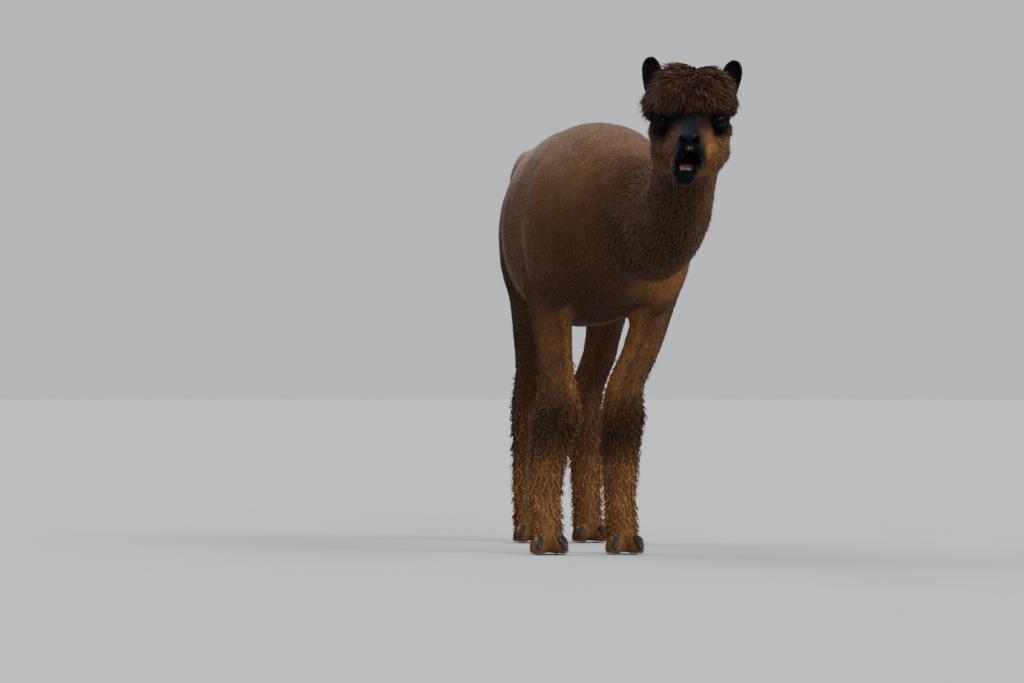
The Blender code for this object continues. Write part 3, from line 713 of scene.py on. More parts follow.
def nearest_nodes(points):
    """The name of the solid that each point lies nearest to."""
    names, rows = [], []
    bm = bmesh.new()
    for name in FLESH + ["topknot"]:
        bm.from_mesh(frame["nodes"][name].data)
        rows += [len(names)] * (len(bm.faces) - len(rows))
        names.append(name)
    tree = BVHTree.FromBMesh(bm)
    bm.free()
    return np.array([names[rows[tree.find_nearest(p)[2]]] for p in points])


def unit(vectors):
    return vectors / np.maximum(np.linalg.norm(vectors, axis=-1, keepdims=True), 1e-9)


def fringe_line(h):
    """How low the mop's tips fall at each point."""
    behind = smoothstep(0.040, 0.090, h[:, 1])
    return np.interp(h[:, 0], *zip(*FRINGE)) * (1 - behind) + NAPE_Z * behind


class Skin:
    """The skin's points, with what the coat and its markings need to know of each."""

    def __init__(self, obj):
        self.mesh = obj.data
        self.p = read_points(self.mesh)
        self.n = read_normals(self.mesh)
        self.h = turned(HEAD.inverted(), self.p)
        self.pairs = read_rows(self.mesh.edges, "vertices", 2, int)
        self.node = nearest_nodes(self.p)
        # no locks grow on the brow, under the fringe's tips
        below = self.h[:, 2] < fringe_line(self.h) + 0.005
        self.node[(self.node == "topknot") & below & (self.h[:, 1] < 0.045)] = "head"
        self.on_head = np.isin(self.node, ["head", "lower_jaw", "topknot", "ear_left", "ear_right"])

    def near(self, *words):
        """1 where the nearest solid's name starts with one of the words, and 0 elsewhere."""
        return np.array([name.startswith(words) for name in self.node], float)

    def around(self, rounds, *words):
        """The same, softened over its edges."""
        return soften(self.near(*words), self.pairs, rounds)

    def store(self, name, values):
        kind = "FLOAT_VECTOR" if values.ndim > 1 else "FLOAT"
        made = self.mesh.attributes.new(name, kind, "POINT")
        made.data.foreach_set("vector" if values.ndim > 1 else "value", values.astype(np.float32).ravel())


def neck_course(p):
    """Which way the neck runs beside each point, from the head down."""
    best, course = np.full(len(p), 1e9), np.zeros_like(p)
    for a, b in zip(NECK_LINE, NECK_LINE[1:]):
        away = path_distance(p, (a, b))
        closer = away < best
        best[closer] = away[closer]
        course[closer] = unit(np.array(b) - np.array(a))
    return course


def mop_flow(h, spin):
    """The mop runs down and out from its parting on the crown, and past the ears before and behind them."""
    back, down = spin @ BACK, spin @ DOWN
    away = h - np.array(PARTING)
    away[:, 0] *= 1.4
    away[:, 1] -= np.clip(away[:, 1], *PARTING_RUN)
    flow = unit(away) @ spin.T + down * 0.45
    for side in SIDES:
        beside = smoothstep(0.045, 0.020, path_distance(h, ear_ends(side)))[:, None]
        ahead = np.where(h[:, 1:2] < EAR_ROOT.y, -1.0, 1.0)
        flow = flow * (1 - beside) + beside * (ahead * back + down * 0.6)
    return flow


def lie_of_coat(skin):
    """Which way the hair points: nose to tail, crown to floor."""
    p, n, h = skin.p, skin.n, skin.h
    lie = np.zeros_like(p)
    end_on = np.abs(n[:, 1:2]) ** 2
    lie += skin.near("trunk", "tail")[:, None] * (TRUNK_LIE * (1 - end_on) + DOWN * end_on)
    lie += skin.near("foreleg", "hindleg")[:, None] * LEG_LIE
    lie += skin.near("forefoot", "hindfoot")[:, None] * FOOT_LIE
    lie += skin.near("neck")[:, None] * (neck_course(p) + NECK_DROOP * DOWN)
    spin = np.array(HEAD.to_3x3())
    back, down = spin @ BACK, spin @ DOWN
    sideways = np.outer(np.sign(h[:, 0]), spin @ np.array((1.0, 0.0, 0.0)))
    cheek = smoothstep(-0.045, 0.010, h[:, 1])[:, None]
    on_face = back * (1 - 0.55 * cheek) + cheek * (down * 0.95 + 0.30 * sideways) + down * 0.12
    lie += skin.near("head", "lower_jaw")[:, None] * on_face
    for side in SIDES:
        root, tip = ear_ends(side)
        lie += skin.near("ear_" + side)[:, None] * (spin @ np.array((tip - root).normalized()))
    crown = skin.near("topknot")[:, None]
    lie += crown * mop_flow(h, spin)
    lie = soften(unit(lie), skin.pairs, 14)
    flat = unit(lie - n * np.sum(lie * n, axis=1)[:, None])
    swirl = (0.38 * wander(p, 17.0, 1) + 0.22 * wander(p, 55.0, 2))[:, None]
    tousled = (0.80 * wander(p, 34.0, 11) + 0.60 * wander(p, 95.0, 12))[:, None]
    return unit(flat + np.cross(n, flat) * (swirl * (1 - crown) + tousled * crown))


def dark_face(skin):
    """Muzzle, bridge, chin, eye rims and ears, where the hair is thin and blue-black."""
    p, h = skin.p, skin.h
    x, y, z = h.T
    ears = skin.near("ear_")
    half = np.interp(z, *zip(*MUZZLE)) * (1 + 0.08 * wander(p, 60.0, 5))
    across = np.abs(x) / half
    ahead = smoothstep(0.020, -0.030, y + 0.03 * smoothstep(0.4, 1.0, across))
    spread = 0.30 * smoothstep(-0.050, -0.020, z)
    muzzle = smoothstep(1.18 + spread, 0.86 - spread, across) * ahead * (z > -0.098)
    chin = smoothstep(-0.088, -0.104, y) * smoothstep(-0.086, -0.094, z)
    chin *= smoothstep(0.027, 0.023, np.abs(x - JAW_X))
    rings = np.zeros(len(h))
    ragged = 0.10 * wander(p, 80.0, 6)
    for side in SIDES:
        away = (h - np.array(HEAD.inverted() @ EYE_MIDDLE[side]) + np.array((0.0, 0.0, 0.004)))
        away /= np.array(EYE_PATCH)
        rings = np.maximum(rings, smoothstep(1.15, 0.62, np.linalg.norm(away, axis=1) + ragged))
    brow = smoothstep(-0.036, -0.012, z + 0.004 * wander(p, 60.0, 8)) * smoothstep(0.010, -0.030, y)
    brow *= np.where(x > 0, 0.80, 0.92)
    face = np.maximum.reduce([muzzle, chin, rings, brow])
    return skin.on_head * np.maximum(ears, (1 - ears) * face)


def paint_masks(skin):
    """Where the coat is sun-bleached, golden or darker, where painted sky light, painted light from the key
    lamp's side and painted shade lie on it, where the face is bare or has a painted sky reflection, and what
    is wet.
    """
    p, h, on_head = skin.p, skin.h, skin.on_head
    x, y, z = p.T
    nx, ny, nz = skin.n.T
    hx, hy, hz = h.T
    crown = skin.around(3, "topknot")
    trunk = skin.around(12, "trunk", "tail")
    legs = skin.around(12, "foreleg", "hindleg", "forefoot", "hindfoot")
    neck = skin.around(20, "neck")
    ears = skin.near("ear_")
    broad, fine, tufty = wander(p, 6.0, 3), wander(p, 24.0, 4), wander(p, 70.0, 14)

    # lighter along the back, and most of all behind: partly dusty, sun-bleached hair and partly painted sky
    # light on the surfaces that face up
    upper = np.minimum(trunk + legs * smoothstep(0.50, 0.66, z), 1.0)
    faded = upper * smoothstep(0.64, 0.92, z + 0.04 * broad) * smoothstep(-0.05, 0.75, nz)
    faded *= 0.16 + 0.84 * smoothstep(-0.12, 0.34, y + 0.05 * broad)

    # golden: shoulders, chest's left, the legs' insides and fronts, feet, neck's left and cheeks; partly the
    # coat's own golden hair, and partly painted light on the sides that face the key lamp: the shoulders, the
    # chest's left, the legs' and neck's +X sides and the left cheek
    legs *= smoothstep(0.70, 0.54, z)
    inner = smoothstep(0.15, 0.80, -np.sign(x) * nx)
    chest = trunk * smoothstep(-0.02, -0.14, y) * smoothstep(0.01, 0.09, x) * smoothstep(0.74, 0.66, z)
    chest = soften(chest, skin.pairs, 40)
    cheek = on_head * smoothstep(0.010, -0.030, hz) * smoothstep(0.018, 0.040, np.abs(hx))
    # the left cheek (+X) faces the key lamp: painted light there, and painted shade on the right cheek
    lit = smoothstep(-0.030, 0.030, hx)
    warm = np.maximum.reduce([
        trunk * smoothstep(0.15, -0.16, y + 0.05 * broad) * smoothstep(0.60, 0.88, z) * 0.36,
        chest * (1.25 + 0.15 * fine),
        legs * inner * (0.90 + 0.2 * fine) * smoothstep(0.22, 0.34, z),
        legs * smoothstep(0.1, -0.8, ny) * (0.20 + 0.12 * fine),
        legs * smoothstep(0.2, 0.9, nx) * (0.30 + 0.2 * fine),
        legs * smoothstep(0.26, 0.14, z) * (0.75 + 0.25 * fine),
        neck * (0.24 + 0.18 * fine) * smoothstep(-0.5, 0.7, nx),
        cheek * (0.30 + 0.34 * lit + 0.14 * fine + 0.24 * tufty),
    ])
    warm *= 1 - crown

    # darker: the knees, outer legs, thighs and the ears; and painted shade on the neck's underside, the
    # cheeks (most of all the right one), the belly and lower flanks and the mop's lower part
    knees = legs * smoothstep(0.35, 0.30, z) * smoothstep(0.19, 0.25, z) * smoothstep(0.1, -0.5, ny)
    under = smoothstep(0.062, 0.018, hz + 0.006 * tufty) * smoothstep(0.078, 0.048, hx)
    dark = np.maximum.reduce([
        neck * 0.85 * smoothstep(0.35, -0.35, nz + 0.25 * fine) * smoothstep(0.9, 0.2, nx),
        cheek * (0.52 - 0.38 * lit - 0.34 * tufty),
        trunk * smoothstep(0.66, 0.50, z + 0.02 * broad) * 0.75 * (1 - chest),
        knees * (y < 0.25) * (0.85 + 0.3 * fine),
        legs * (1 - inner) * (0.16 + 0.20 * fine) * smoothstep(-0.7, -0.1, ny),
        legs * smoothstep(0.30, 0.50, y) * smoothstep(0.22, 0.42, z) * 0.7,
        crown * (0.10 + 0.90 * under),
        ears,
    ])

    # bare: the blue-black face, and a painted reflection of the sky that runs down its bridge
    bare = np.clip(dark_face(skin), 0.0, 1.0) * (1 - crown)
    bare *= 1 - 0.25 * ears
    bloom = on_head * smoothstep(0.024, 0.002, np.abs(hx)) * smoothstep(-0.046, -0.016, hz)
    bloom *= smoothstep(-0.030, -0.060, hy) * (1 - crown)

    # wet: the lids' rims, the nose's tip and the mouth's inside
    mouth = on_head * (hy < -0.050) * smoothstep(0.020, 0.014, np.abs(hx - JAW_X)) * (hz < -0.070)
    mouth *= (hy > -0.1225) & (hz > -0.118)
    openings = [lid_opening(p, side) for side in SIDES]
    rim = np.minimum.reduce([opening + (away > 0.024) for opening, away in openings])
    nose = on_head * ball_weight(h, NOSE_TIP, NOSE_RADII)
    wet = np.maximum.reduce([0.2 * smoothstep(1.16, 1.04, rim), nose, mouth * 0.15])

    masks = {
        "faded": faded, "warm": warm, "dark": dark, "bare": bare, "bloom": bloom, "wet": wet, "mouth": mouth}
    for name, values in masks.items():
        skin.store(name, np.clip(values, 0.0, 1.0))
    return bare


def shape_of_coat(skin, bare):
    """How long each place's tufts are, and how far they stand out."""
    p, h = skin.p, skin.h
    legs = skin.around(12, "foreleg", "hindleg")
    feet = skin.around(6, "forefoot", "hindfoot")
    neck = skin.around(25, "neck")
    tail = skin.around(6, "tail")
    shag = legs * smoothstep(0.42, 0.24, p[:, 2])
    length = 0.0105 + 0.006 * neck + 0.0058 * shag + 0.030 * tail + 0.003 * feet
    rise = 0.22 + 0.10 * neck - 0.11 * shag + 0.10 * tail
    front = smoothstep(0.030, -0.060, h[:, 1])
    length = np.where(skin.on_head, 0.0170 - 0.0125 * front, length)
    rise = np.where(skin.on_head, 0.32 - 0.12 * front, rise)
    length = np.where(skin.near("ear_") > 0, 0.0055, length)
    length *= 1 - 0.45 * bare * skin.on_head

    # the mop's locks shorten beside the ears, and to end at the fringe's line
    mop = skin.near("topknot") > 0
    room = h[:, 2] - fringe_line(h)
    fall = np.clip(-(skin.lie @ np.array(HEAD.to_3x3()))[:, 2], 0.35, 1.0)
    by_ears = np.minimum.reduce([path_distance(h, ear_ends(side)) for side in SIDES])
    longest = MOP_LENGTH * (1 + 0.22 * wander(p, 30.0, 7)) * (0.55 + 0.45 * smoothstep(0.025, 0.065, by_ears))
    longest = np.minimum(longest, np.maximum(by_ears - 0.010, 0.014))
    ragged = 0.009 * wander(p, 42.0, 13)
    length = np.where(mop, np.clip((0.84 * room + ragged) / fall, 0.008, longest), length)
    at_parting = np.exp(-((h[:, 0] - PARTING[0]) / 0.011) ** 2) * smoothstep(0.085, 0.100, h[:, 2])
    standing = 0.20 * smoothstep(-0.005, 0.050, h[:, 2]) + 0.16 * smoothstep(0.06, 0.11, h[:, 2])
    rise = np.where(mop, standing * (1 - 0.7 * at_parting), rise)
    skin.store("long", length)
    skin.store("rise", rise)


# ---------------------------------------------------------------- node helpers
class Wire:
    """A node's output. Python's own sums on it add Math nodes."""

    def __init__(self, nodes, socket):
        self.nodes = nodes
        self.socket = socket

    def math(self, operation, first, second=0.0):
        return self.nodes.add("ShaderNodeMath", {"operation": operation}, {0: first, 1: second})

    def __add__(self, other):
        return self.math("ADD", self, other)

    def __radd__(self, other):
        return self.math("ADD", other, self)

    def __sub__(self, other):
        return self.math("SUBTRACT", self, other)

    def __rsub__(self, other):
        return self.math("SUBTRACT", other, self)

    def __mul__(self, other):
        return self.math("MULTIPLY", self, other)

    def __rmul__(self, other):
        return self.math("MULTIPLY", other, self)


class Nodes:
    """Adds nodes to a tree."""

    def __init__(self, tree):
        self.tree = tree

    def add(self, kind, settings=None, inputs=None, output=0):
        """A node of this kind: its settings first, then the values or wires of its sockets."""
        node = self.tree.nodes.new(kind)
        for name, value in (settings or {}).items():
            if name == "stops":
                self.set_stops(node.color_ramp, value)
            else:
                setattr(node, name, value)
        for name, value in (inputs or {}).items():
            if isinstance(value, Wire):
                self.tree.links.new(value.socket, node.inputs[name])
            else:
                node.inputs[name].default_value = value
        return Wire(self, node.outputs[output])

    def set_stops(self, ramp, stops):
        while len(ramp.elements) < len(stops):
            ramp.elements.new(0.5)
        for element, (place, value) in zip(ramp.elements, stops):
            element.position = place
            element.color = (value, value, value, 1.0)

    def ramp(self, value, stops):
        return self.add("ShaderNodeValToRGB", {"stops": stops}, {0: value})

    def mix(self, factor, first, second):
        """Two colours mixed."""
        return self.add("ShaderNodeMix", {"data_type": "RGBA"}, {0: factor, 6: first, 7: second}, 2)

    def shaded(self, colour, shade):
        """A colour made darker or lighter by a number."""
        grey = self.add("ShaderNodeCombineColor", {}, {0: shade, 1: shade, 2: shade})
        settings_of_mix = {"data_type": "RGBA", "blend_type": "MULTIPLY"}
        return self.add("ShaderNodeMix", settings_of_mix, {0: 1.0, 6: colour, 7: grey}, 2)

    def attribute(self, name):
        """A number kept on the mesh's points."""
        return self.add("ShaderNodeAttribute", {"attribute_name": name}, {}, "Fac")

    def noise(self, scale, detail=2.0, stretch=None, rough=0.5):
        place = self.add("ShaderNodeTexCoord", {}, {}, "Object")
        if stretch:
            place = self.add("ShaderNodeMapping", {}, {"Vector": place, "Scale": stretch})
        return self.add("ShaderNodeTexNoise", {}, {
            "Vector": place, "Scale": scale, "Detail": detail, "Roughness": rough})

    def bump(self, height, distance, strength):
        return self.add("ShaderNodeBump", {}, {"Height": height, "Distance": distance, "Strength": strength})


def new_material(name):
    """An empty material with its node helper and its Principled shader."""
    made = bpy.data.materials.new(name)
    made.use_nodes = True
    return made, Nodes(made.node_tree), made.node_tree.nodes["Principled BSDF"]


def feed(nodes, shader, **sockets):
    """Sets or links the shader's sockets: base_color is Base Color."""
    for name, value in sockets.items():
        socket = shader.inputs[name.replace("_", " ").title()]
        if isinstance(value, Wire):
            nodes.tree.links.new(value.socket, socket)
        else:
            socket.default_value = value


def opaque(colour):
    return (*colour, 1.0)


# ---------------------------------------------------------------- coat materials
HAIR_SHINE = 0.08           # specular level
SKIN_SHINE = 0.04
HAIR_SHEEN = 0.10
FACE_SHEEN = 0.03
SKIN_SHEEN = 0.02
SHEEN_ROUGHNESS = 0.45
SHEEN_TINT = (0.80, 0.60, 0.45, 1.0)


def coat_colour(nodes, colours):
    """The markings that skin and coat share, and the painted light and shade laid over them."""
    broad = nodes.ramp(nodes.noise(7.0, 3.0), ((0.30, 0.0), (0.70, 1.0)))
    streaks = nodes.ramp(nodes.noise(90.0, 3.0, (1.0, 0.35, 0.35)), ((0.35, 0.0), (0.65, 1.0)))
    colour = nodes.mix(broad, opaque(colours.coat), opaque(colours.coat_light))
    # golden hair, and painted light on the side that faces the key lamp
    colour = nodes.mix(nodes.attribute("warm") * (streaks * 0.3 + 0.7), colour, opaque(colours.warm))
    # darker hair, and painted shade under the body, the neck and the mop
    colour = nodes.mix(nodes.attribute("dark") * (streaks * 0.3 + 0.7), colour, opaque(colours.dark))
    # sun-bleached hair, and painted sky light on the back's top
    colour = nodes.mix(nodes.attribute("faded") * (broad * 0.3 + 0.7), colour, opaque(colours.faded))
    # the bare skin, with a painted reflection of the sky on the bridge
    bare = nodes.mix(nodes.attribute("bloom"), opaque(colours.bare), opaque(colours.bloom))
    return nodes.mix(nodes.attribute("bare"), colour, bare)


def soften_hair(shader, sheen=HAIR_SHEEN, shine=HAIR_SHINE):
    """Hair shines little, and its down catches the light at its edges."""
    shader.inputs["Specular IOR Level"].default_value = shine
    shader.inputs["Sheen Weight"].default_value = sheen
    shader.inputs["Sheen Roughness"].default_value = SHEEN_ROUGHNESS
    shader.inputs["Sheen Tint"].default_value = SHEEN_TINT


def skin_material(colours):
    """The skin between the tufts: fine hair, and smoother where it is bare or wet."""
    made, nodes, shader = new_material("skin")
    hair = nodes.noise(520.0, 3.0, None, 0.65)
    pores = nodes.noise(900.0, 2.0)
    wet, bare = nodes.attribute("wet"), nodes.attribute("bare")
    colour = nodes.shaded(coat_colour(nodes, colours), nodes.ramp(hair, ((0.30, 0.62), (0.70, 1.0))))
    colour = nodes.mix(nodes.attribute("mouth"), colour, opaque(colours.gum))
    grain = nodes.bump(hair * (1 - bare) + pores * 0.5, 0.0018, 0.6)
    feed(nodes, shader, base_color=colour, roughness=0.88 - bare * 0.40 - wet * 0.20,
         coat_weight=wet * 0.80, normal=grain)
    soften_hair(shader, SKIN_SHEEN, SKIN_SHINE)
    return made


def tuft_material(name, colours, tips, sheen):
    """Hair: darker at the root, as painted shade among the hairs, and lighter or warmer towards the tip."""
    made, nodes, shader = new_material(name)
    colour = coat_colour(nodes, colours)
    tip, tone = nodes.attribute("tip"), nodes.attribute("tone")
    lightness = tip * tip * (tone * 0.5 + 0.05) * (1 - nodes.attribute("bare"))
    colour = nodes.mix(lightness, colour, opaque(tips))
    shade = (0.50 + tip * 0.55) * (0.76 + tone * 0.46)
    feed(nodes, shader, base_color=nodes.shaded(colour, shade), roughness=0.75)
    soften_hair(shader, sheen)
    return made


def mop_material(colours):
    """The topknot's hair: painted shade at its locks' roots and between clumps, and lighter in clumps towards
    the tips.
    """
    made, nodes, shader = new_material("topknot")
    tip, tone = nodes.attribute("tip"), nodes.attribute("tone")
    clumps = nodes.ramp(nodes.noise(75.0, 3.0), ((0.35, 0.0), (0.65, 1.0)))
    lightness = tip * tip * (tone * 0.8 + 0.2) * (clumps * 0.6 + 0.4)
    colour = nodes.mix(lightness, opaque(colours.mop), opaque(colours.mop_tips))
    shade = (0.24 + tip * 0.84) * (0.66 + tone * 0.68) * (0.52 + clumps * 0.72)
    # the mop's lower part and fringe in painted shade
    shade = shade * (1.0 - nodes.attribute("dark") * 0.76)
    feed(nodes, shader, base_color=nodes.shaded(colour, shade), roughness=0.68)
    soften_hair(shader)
    return made


# ---------------------------------------------------------------- tufts
TUFT_SHAPES = {             # rings along it, points around it, thickness for its width, width for its length
    "down": (1, 3, 0.70, 0.16),
    "short": (2, 3, 0.55, 0.16),
    "lock": (6, 3, 0.65, 0.12),
}
WAVES = 7.5                 # radians of wave along a lock
TUFT_PATCH = 0.003          # a tuft's width on the unwrapped skin
TUFT_CHOICES = 63           # picks run from 0 to this, and go round the set's tufts


def tuft_shape(name, kind, bend, sway, twist, wave=0.0):
    """A closed, tapering spike one unit long, along +X, which leaves the skin and bends back to it."""
    rings, sides, thick, slim = TUFT_SHAPES[kind]
    bm = bmesh.new()
    tip_layer = bm.verts.layers.float.new("tip")
    loops = []
    for i in range(rings):
        t = i / rings
        taper = (1 - t ** 1.6) * (0.55 + 0.45 * min(1.0, 3 * t + 0.3))
        rise = bend * (math.sin(math.pi * 0.5 * t) - 0.45 * t**2)
        drift = sway * t**2 + wave * math.sin(WAVES * t) * t
        ring = []
        for k in range(sides):
            angle = math.tau * (k + 0.25) / sides + twist * t
            y = 0.5 * taper * math.cos(angle)
            z = 0.5 * taper * thick * math.sin(angle)
            vert = bm.verts.new((t, y + drift / slim, z + rise / slim))
            vert[tip_layer] = t
            ring.append(vert)
        loops.append(ring)
    point = bm.verts.new((1.0, (sway + wave * math.sin(WAVES)) / slim, 0.55 * bend / slim))
    point[tip_layer] = 1.0
    bm.faces.new(loops[0][::-1])
    add_bands(bm, loops)
    add_fan(bm, loops[-1], point)
    leaf = bm.loops.layers.uv.new("leaf")
    shade_smooth(bm)
    for face in bm.faces:
        for loop in face.loops:
            loop[leaf].uv = (loop.vert.co.x, 0.5 + 0.9 * loop.vert.co.y * 0.5)
    bmesh.ops.recalc_face_normals(bm, faces=bm.faces)
    return object_from(name, bm)


def tuft_set(kind, bends):
    """A collection of a few tufts to pick from."""
    group = bpy.data.collections.new(kind + "_tufts")
    bpy.context.scene.collection.children.link(group)
    for k, form in enumerate(bends):
        tuft = tuft_shape(f"{kind}_tuft_{k}", kind, *form)
        bpy.context.scene.collection.objects.unlink(tuft)
        group.objects.link(tuft)
    return group


def drop_set(group):
    for obj in list(group.objects):
        bpy.data.objects.remove(obj)
    bpy.data.collections.remove(group)


SPENT = ("lie", "long", "rise", "grow", "wet", "mouth", "skin_map", "leaf")   # what the coat doesn't keep
COAT_INPUTS = (
    ("Skin", "Geometry"),
    ("Tufts", "Collection"),
    ("Density", "Float"),
    ("Length", "Float"),
    ("Width", "Float"),
    ("Ruffle", "Float"),
    ("Seed", "Int"),
    ("Material", "Material"),
)


def coat_tree():
    """Scatters tufts over the skin, along the lie, and makes them one mesh."""
    tree = bpy.data.node_groups.new("Coat", "GeometryNodeTree")
    for name, kind in COAT_INPUTS:
        tree.interface.new_socket(name, in_out="INPUT", socket_type="NodeSocket" + kind)
    tree.interface.new_socket("Coat", in_out="OUTPUT", socket_type="NodeSocketGeometry")
    nodes = Nodes(tree)
    given = tree.nodes.new("NodeGroupInput")
    wires = {socket.name: Wire(nodes, socket) for socket in given.outputs if socket.name}

    def named(name, kind="FLOAT"):
        return nodes.add("GeometryNodeInputNamedAttribute", {"data_type": kind}, {"Name": name})

    def chance(low, high, salt):
        return nodes.add("FunctionNodeRandomValue", {"data_type": "FLOAT"}, {
            2: low, 3: high, 8: wires["Seed"] + salt}, 1)

    spread = tree.nodes.new("GeometryNodeDistributePointsOnFaces")
    tree.links.new(wires["Skin"].socket, spread.inputs["Mesh"])
    tree.links.new((wires["Density"] * named("grow")).socket, spread.inputs["Density"])
    tree.links.new(wires["Seed"].socket, spread.inputs["Seed"])
    points, normal = Wire(nodes, spread.outputs["Points"]), Wire(nodes, spread.outputs["Normal"])
    lie = named("lie", "FLOAT_VECTOR")
    along = nodes.add("FunctionNodeAxesToRotation", {"primary_axis": "Z", "secondary_axis": "X"},
                      {"Primary Axis": normal, "Secondary Axis": lie})
    lift = named("rise") * chance(0.55, 1.45, 1) * -1.0
    euler = nodes.add("ShaderNodeCombineXYZ", {}, {
        0: wires["Ruffle"] * chance(-1.6, 1.6, 2), 1: lift, 2: wires["Ruffle"] * chance(-1.0, 1.0, 3)})
    tilt = nodes.add("FunctionNodeEulerToRotation", {}, {0: euler})
    turn = nodes.add("FunctionNodeRotateRotation", {"rotation_space": "LOCAL"}, {0: along, 1: tilt})
    long = wires["Length"] * named("long") * chance(0.65, 1.30, 4)
    # a tuft that is short for lack of room is also slimmer
    fullness = named("long") * 70.0 + 0.25
    slimmed = fullness.math("MINIMUM", fullness, 1.0)
    wide = wires["Width"] * chance(0.75, 1.25, 5) * slimmed
    size = nodes.add("ShaderNodeCombineXYZ", {}, {0: long, 1: wide, 2: wide})
    shapes = nodes.add("GeometryNodeCollectionInfo", {}, {
        "Collection": wires["Tufts"], "Separate Children": True, "Reset Children": True})
    pick = nodes.add("FunctionNodeRandomValue", {"data_type": "INT"}, {
        4: 0, 5: TUFT_CHOICES, 8: wires["Seed"] + 6}, 2)
    made = nodes.add("GeometryNodeInstanceOnPoints", {}, {
        "Points": points, "Instance": shapes, "Pick Instance": True, "Instance Index": pick,
        "Rotation": turn, "Scale": size})
    made = nodes.add("GeometryNodeStoreNamedAttribute", {"data_type": "FLOAT", "domain": "INSTANCE"}, {
        "Geometry": made, "Name": "tone", "Value": chance(0.0, 1.0, 7)})
    made = nodes.add("GeometryNodeRealizeInstances", {}, {"Geometry": made})
    # each tuft gets a small patch of the skin's own unwrap
    leaf = named("leaf", "FLOAT_VECTOR")
    patch = nodes.add("ShaderNodeVectorMath", {"operation": "MULTIPLY_ADD"}, {
        0: leaf, 1: (TUFT_PATCH, TUFT_PATCH, 0.0), 2: named("skin_map", "FLOAT_VECTOR")})
    made = nodes.add("GeometryNodeStoreNamedAttribute", {"data_type": "FLOAT2", "domain": "CORNER"}, {
        "Geometry": made, "Name": "OFBake", "Value": patch})
    for name in SPENT:
        made = nodes.add("GeometryNodeRemoveAttribute", {}, {"Geometry": made, "Name": name})
    made = nodes.add("GeometryNodeSetMaterial", {}, {"Geometry": made, "Material": wires["Material"]})
    result = tree.nodes.new("NodeGroupOutput")
    tree.links.new(made.socket, result.inputs[0])
    return tree


def grow_coat(name, skin_obj, tree, grow, values):
    """One piece of coat: tufts where `grow` says, as a plain mesh."""
    base = new_object(name, skin_obj.data.copy())
    layer = base.data.attributes.new("grow", "FLOAT", "POINT")
    layer.data.foreach_set("value", grow.astype(np.float32))
    trim = opened(base.data)
    key = trim.verts.layers.float["grow"]
    empty = [f for f in trim.faces if all(v[key] <= 0.0 for v in f.verts)]
    bmesh.ops.delete(trim, geom=empty, context="FACES")
    put_back(trim, base.data)
    modifier = base.modifiers.new("Coat", "NODES")
    modifier.node_group = tree
    ids = {item.name: item.identifier for item in tree.interface.items_tree if item.in_out == "INPUT"}
    for key, value in values.items():
        modifier[ids[key]] = value
    evaluate(base)
    points = read_points(base.data)
    points[:, 2] = np.maximum(points[:, 2], SOLE_SKIN)
    write_points(base.data, points)
    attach(base, "root")
    return base


LEGS = ("foreleg_left", "foreleg_right", "hindleg_left", "hindleg_right")
PARTS = ("trunk", "neck", "tail", *LEGS, "head", "ear_left", "ear_right", "topknot")


def part_of(node):
    """The coat's part that a solid's place belongs to: feet go with their legs and the jaw with the head."""
    name = node.replace("forefoot", "foreleg").replace("hindfoot", "hindleg").replace("lower_jaw", "head")
    return PARTS.index(name)


def unwrap(obj):
    """An unwrap of the skin's own shape, which the tufts' patches are placed on."""
    obj.data.uv_layers.new(name="skin_map")
    bpy.context.view_layer.objects.active = obj
    obj.select_set(True)
    bpy.ops.object.mode_set(mode="EDIT")
    bpy.ops.mesh.select_all(action="SELECT")
    bpy.ops.uv.smart_project(angle_limit=math.radians(66), island_margin=0.001)
    bpy.ops.object.mode_set(mode="OBJECT")
    obj.select_set(False)


def read_attribute(obj, name):
    return read_rows(obj.data.attributes[name].data, "value", 1)[:, 0]


def part_mask(obj, name):
    """1 on the named part of the coat, and 0 elsewhere."""
    return (read_attribute(obj, "part") == PARTS.index(name)).astype(float)


def made_skin():
    skin = bpy.data.objects.get("skin")
    if skin is None:
        raise RuntimeError("make the skin first")
    return skin


def growth(name, description, default):
    return FloatProperty(name=name, description=description, default=default, min=0)


def breadth(name, description, default):
    return FloatProperty(name=name, description=description, default=default, min=0, unit="LENGTH")


def paint(name, description, default):
    return FloatVectorProperty(
        name=name, description=description, subtype="COLOR", size=3, min=0, max=1, default=default)


class AlpacaCoat(bpy.types.PropertyGroup):
    trunk_density: growth("Trunk density", "Tufts per square metre of trunk", 125000)
    neck_density: growth("Neck density", "Tufts per square metre of neck", 100000)
    leg_density: growth("Leg density", "Tufts per square metre of leg", 85000)
    shag_density: growth("Shag density", "Locks per square metre of lower leg", 18000)
    face_density: growth("Face density", "Tufts per square metre of face", 150000)
    down_density: growth("Down density", "Short tufts per square metre of topknot", 50000)
    mop_density: growth("Topknot density", "Locks per square metre of topknot", 98000)
    down_width: breadth("Down width", "Width of a trunk tuft", 0.0020)
    tuft_width: breadth("Tuft width", "Width of a leg tuft", 0.0022)
    lock_width: breadth("Lock width", "Width of a topknot lock", 0.0032)
    seed: IntProperty(name="Seed", description="Changes how the tufts fall", default=5)


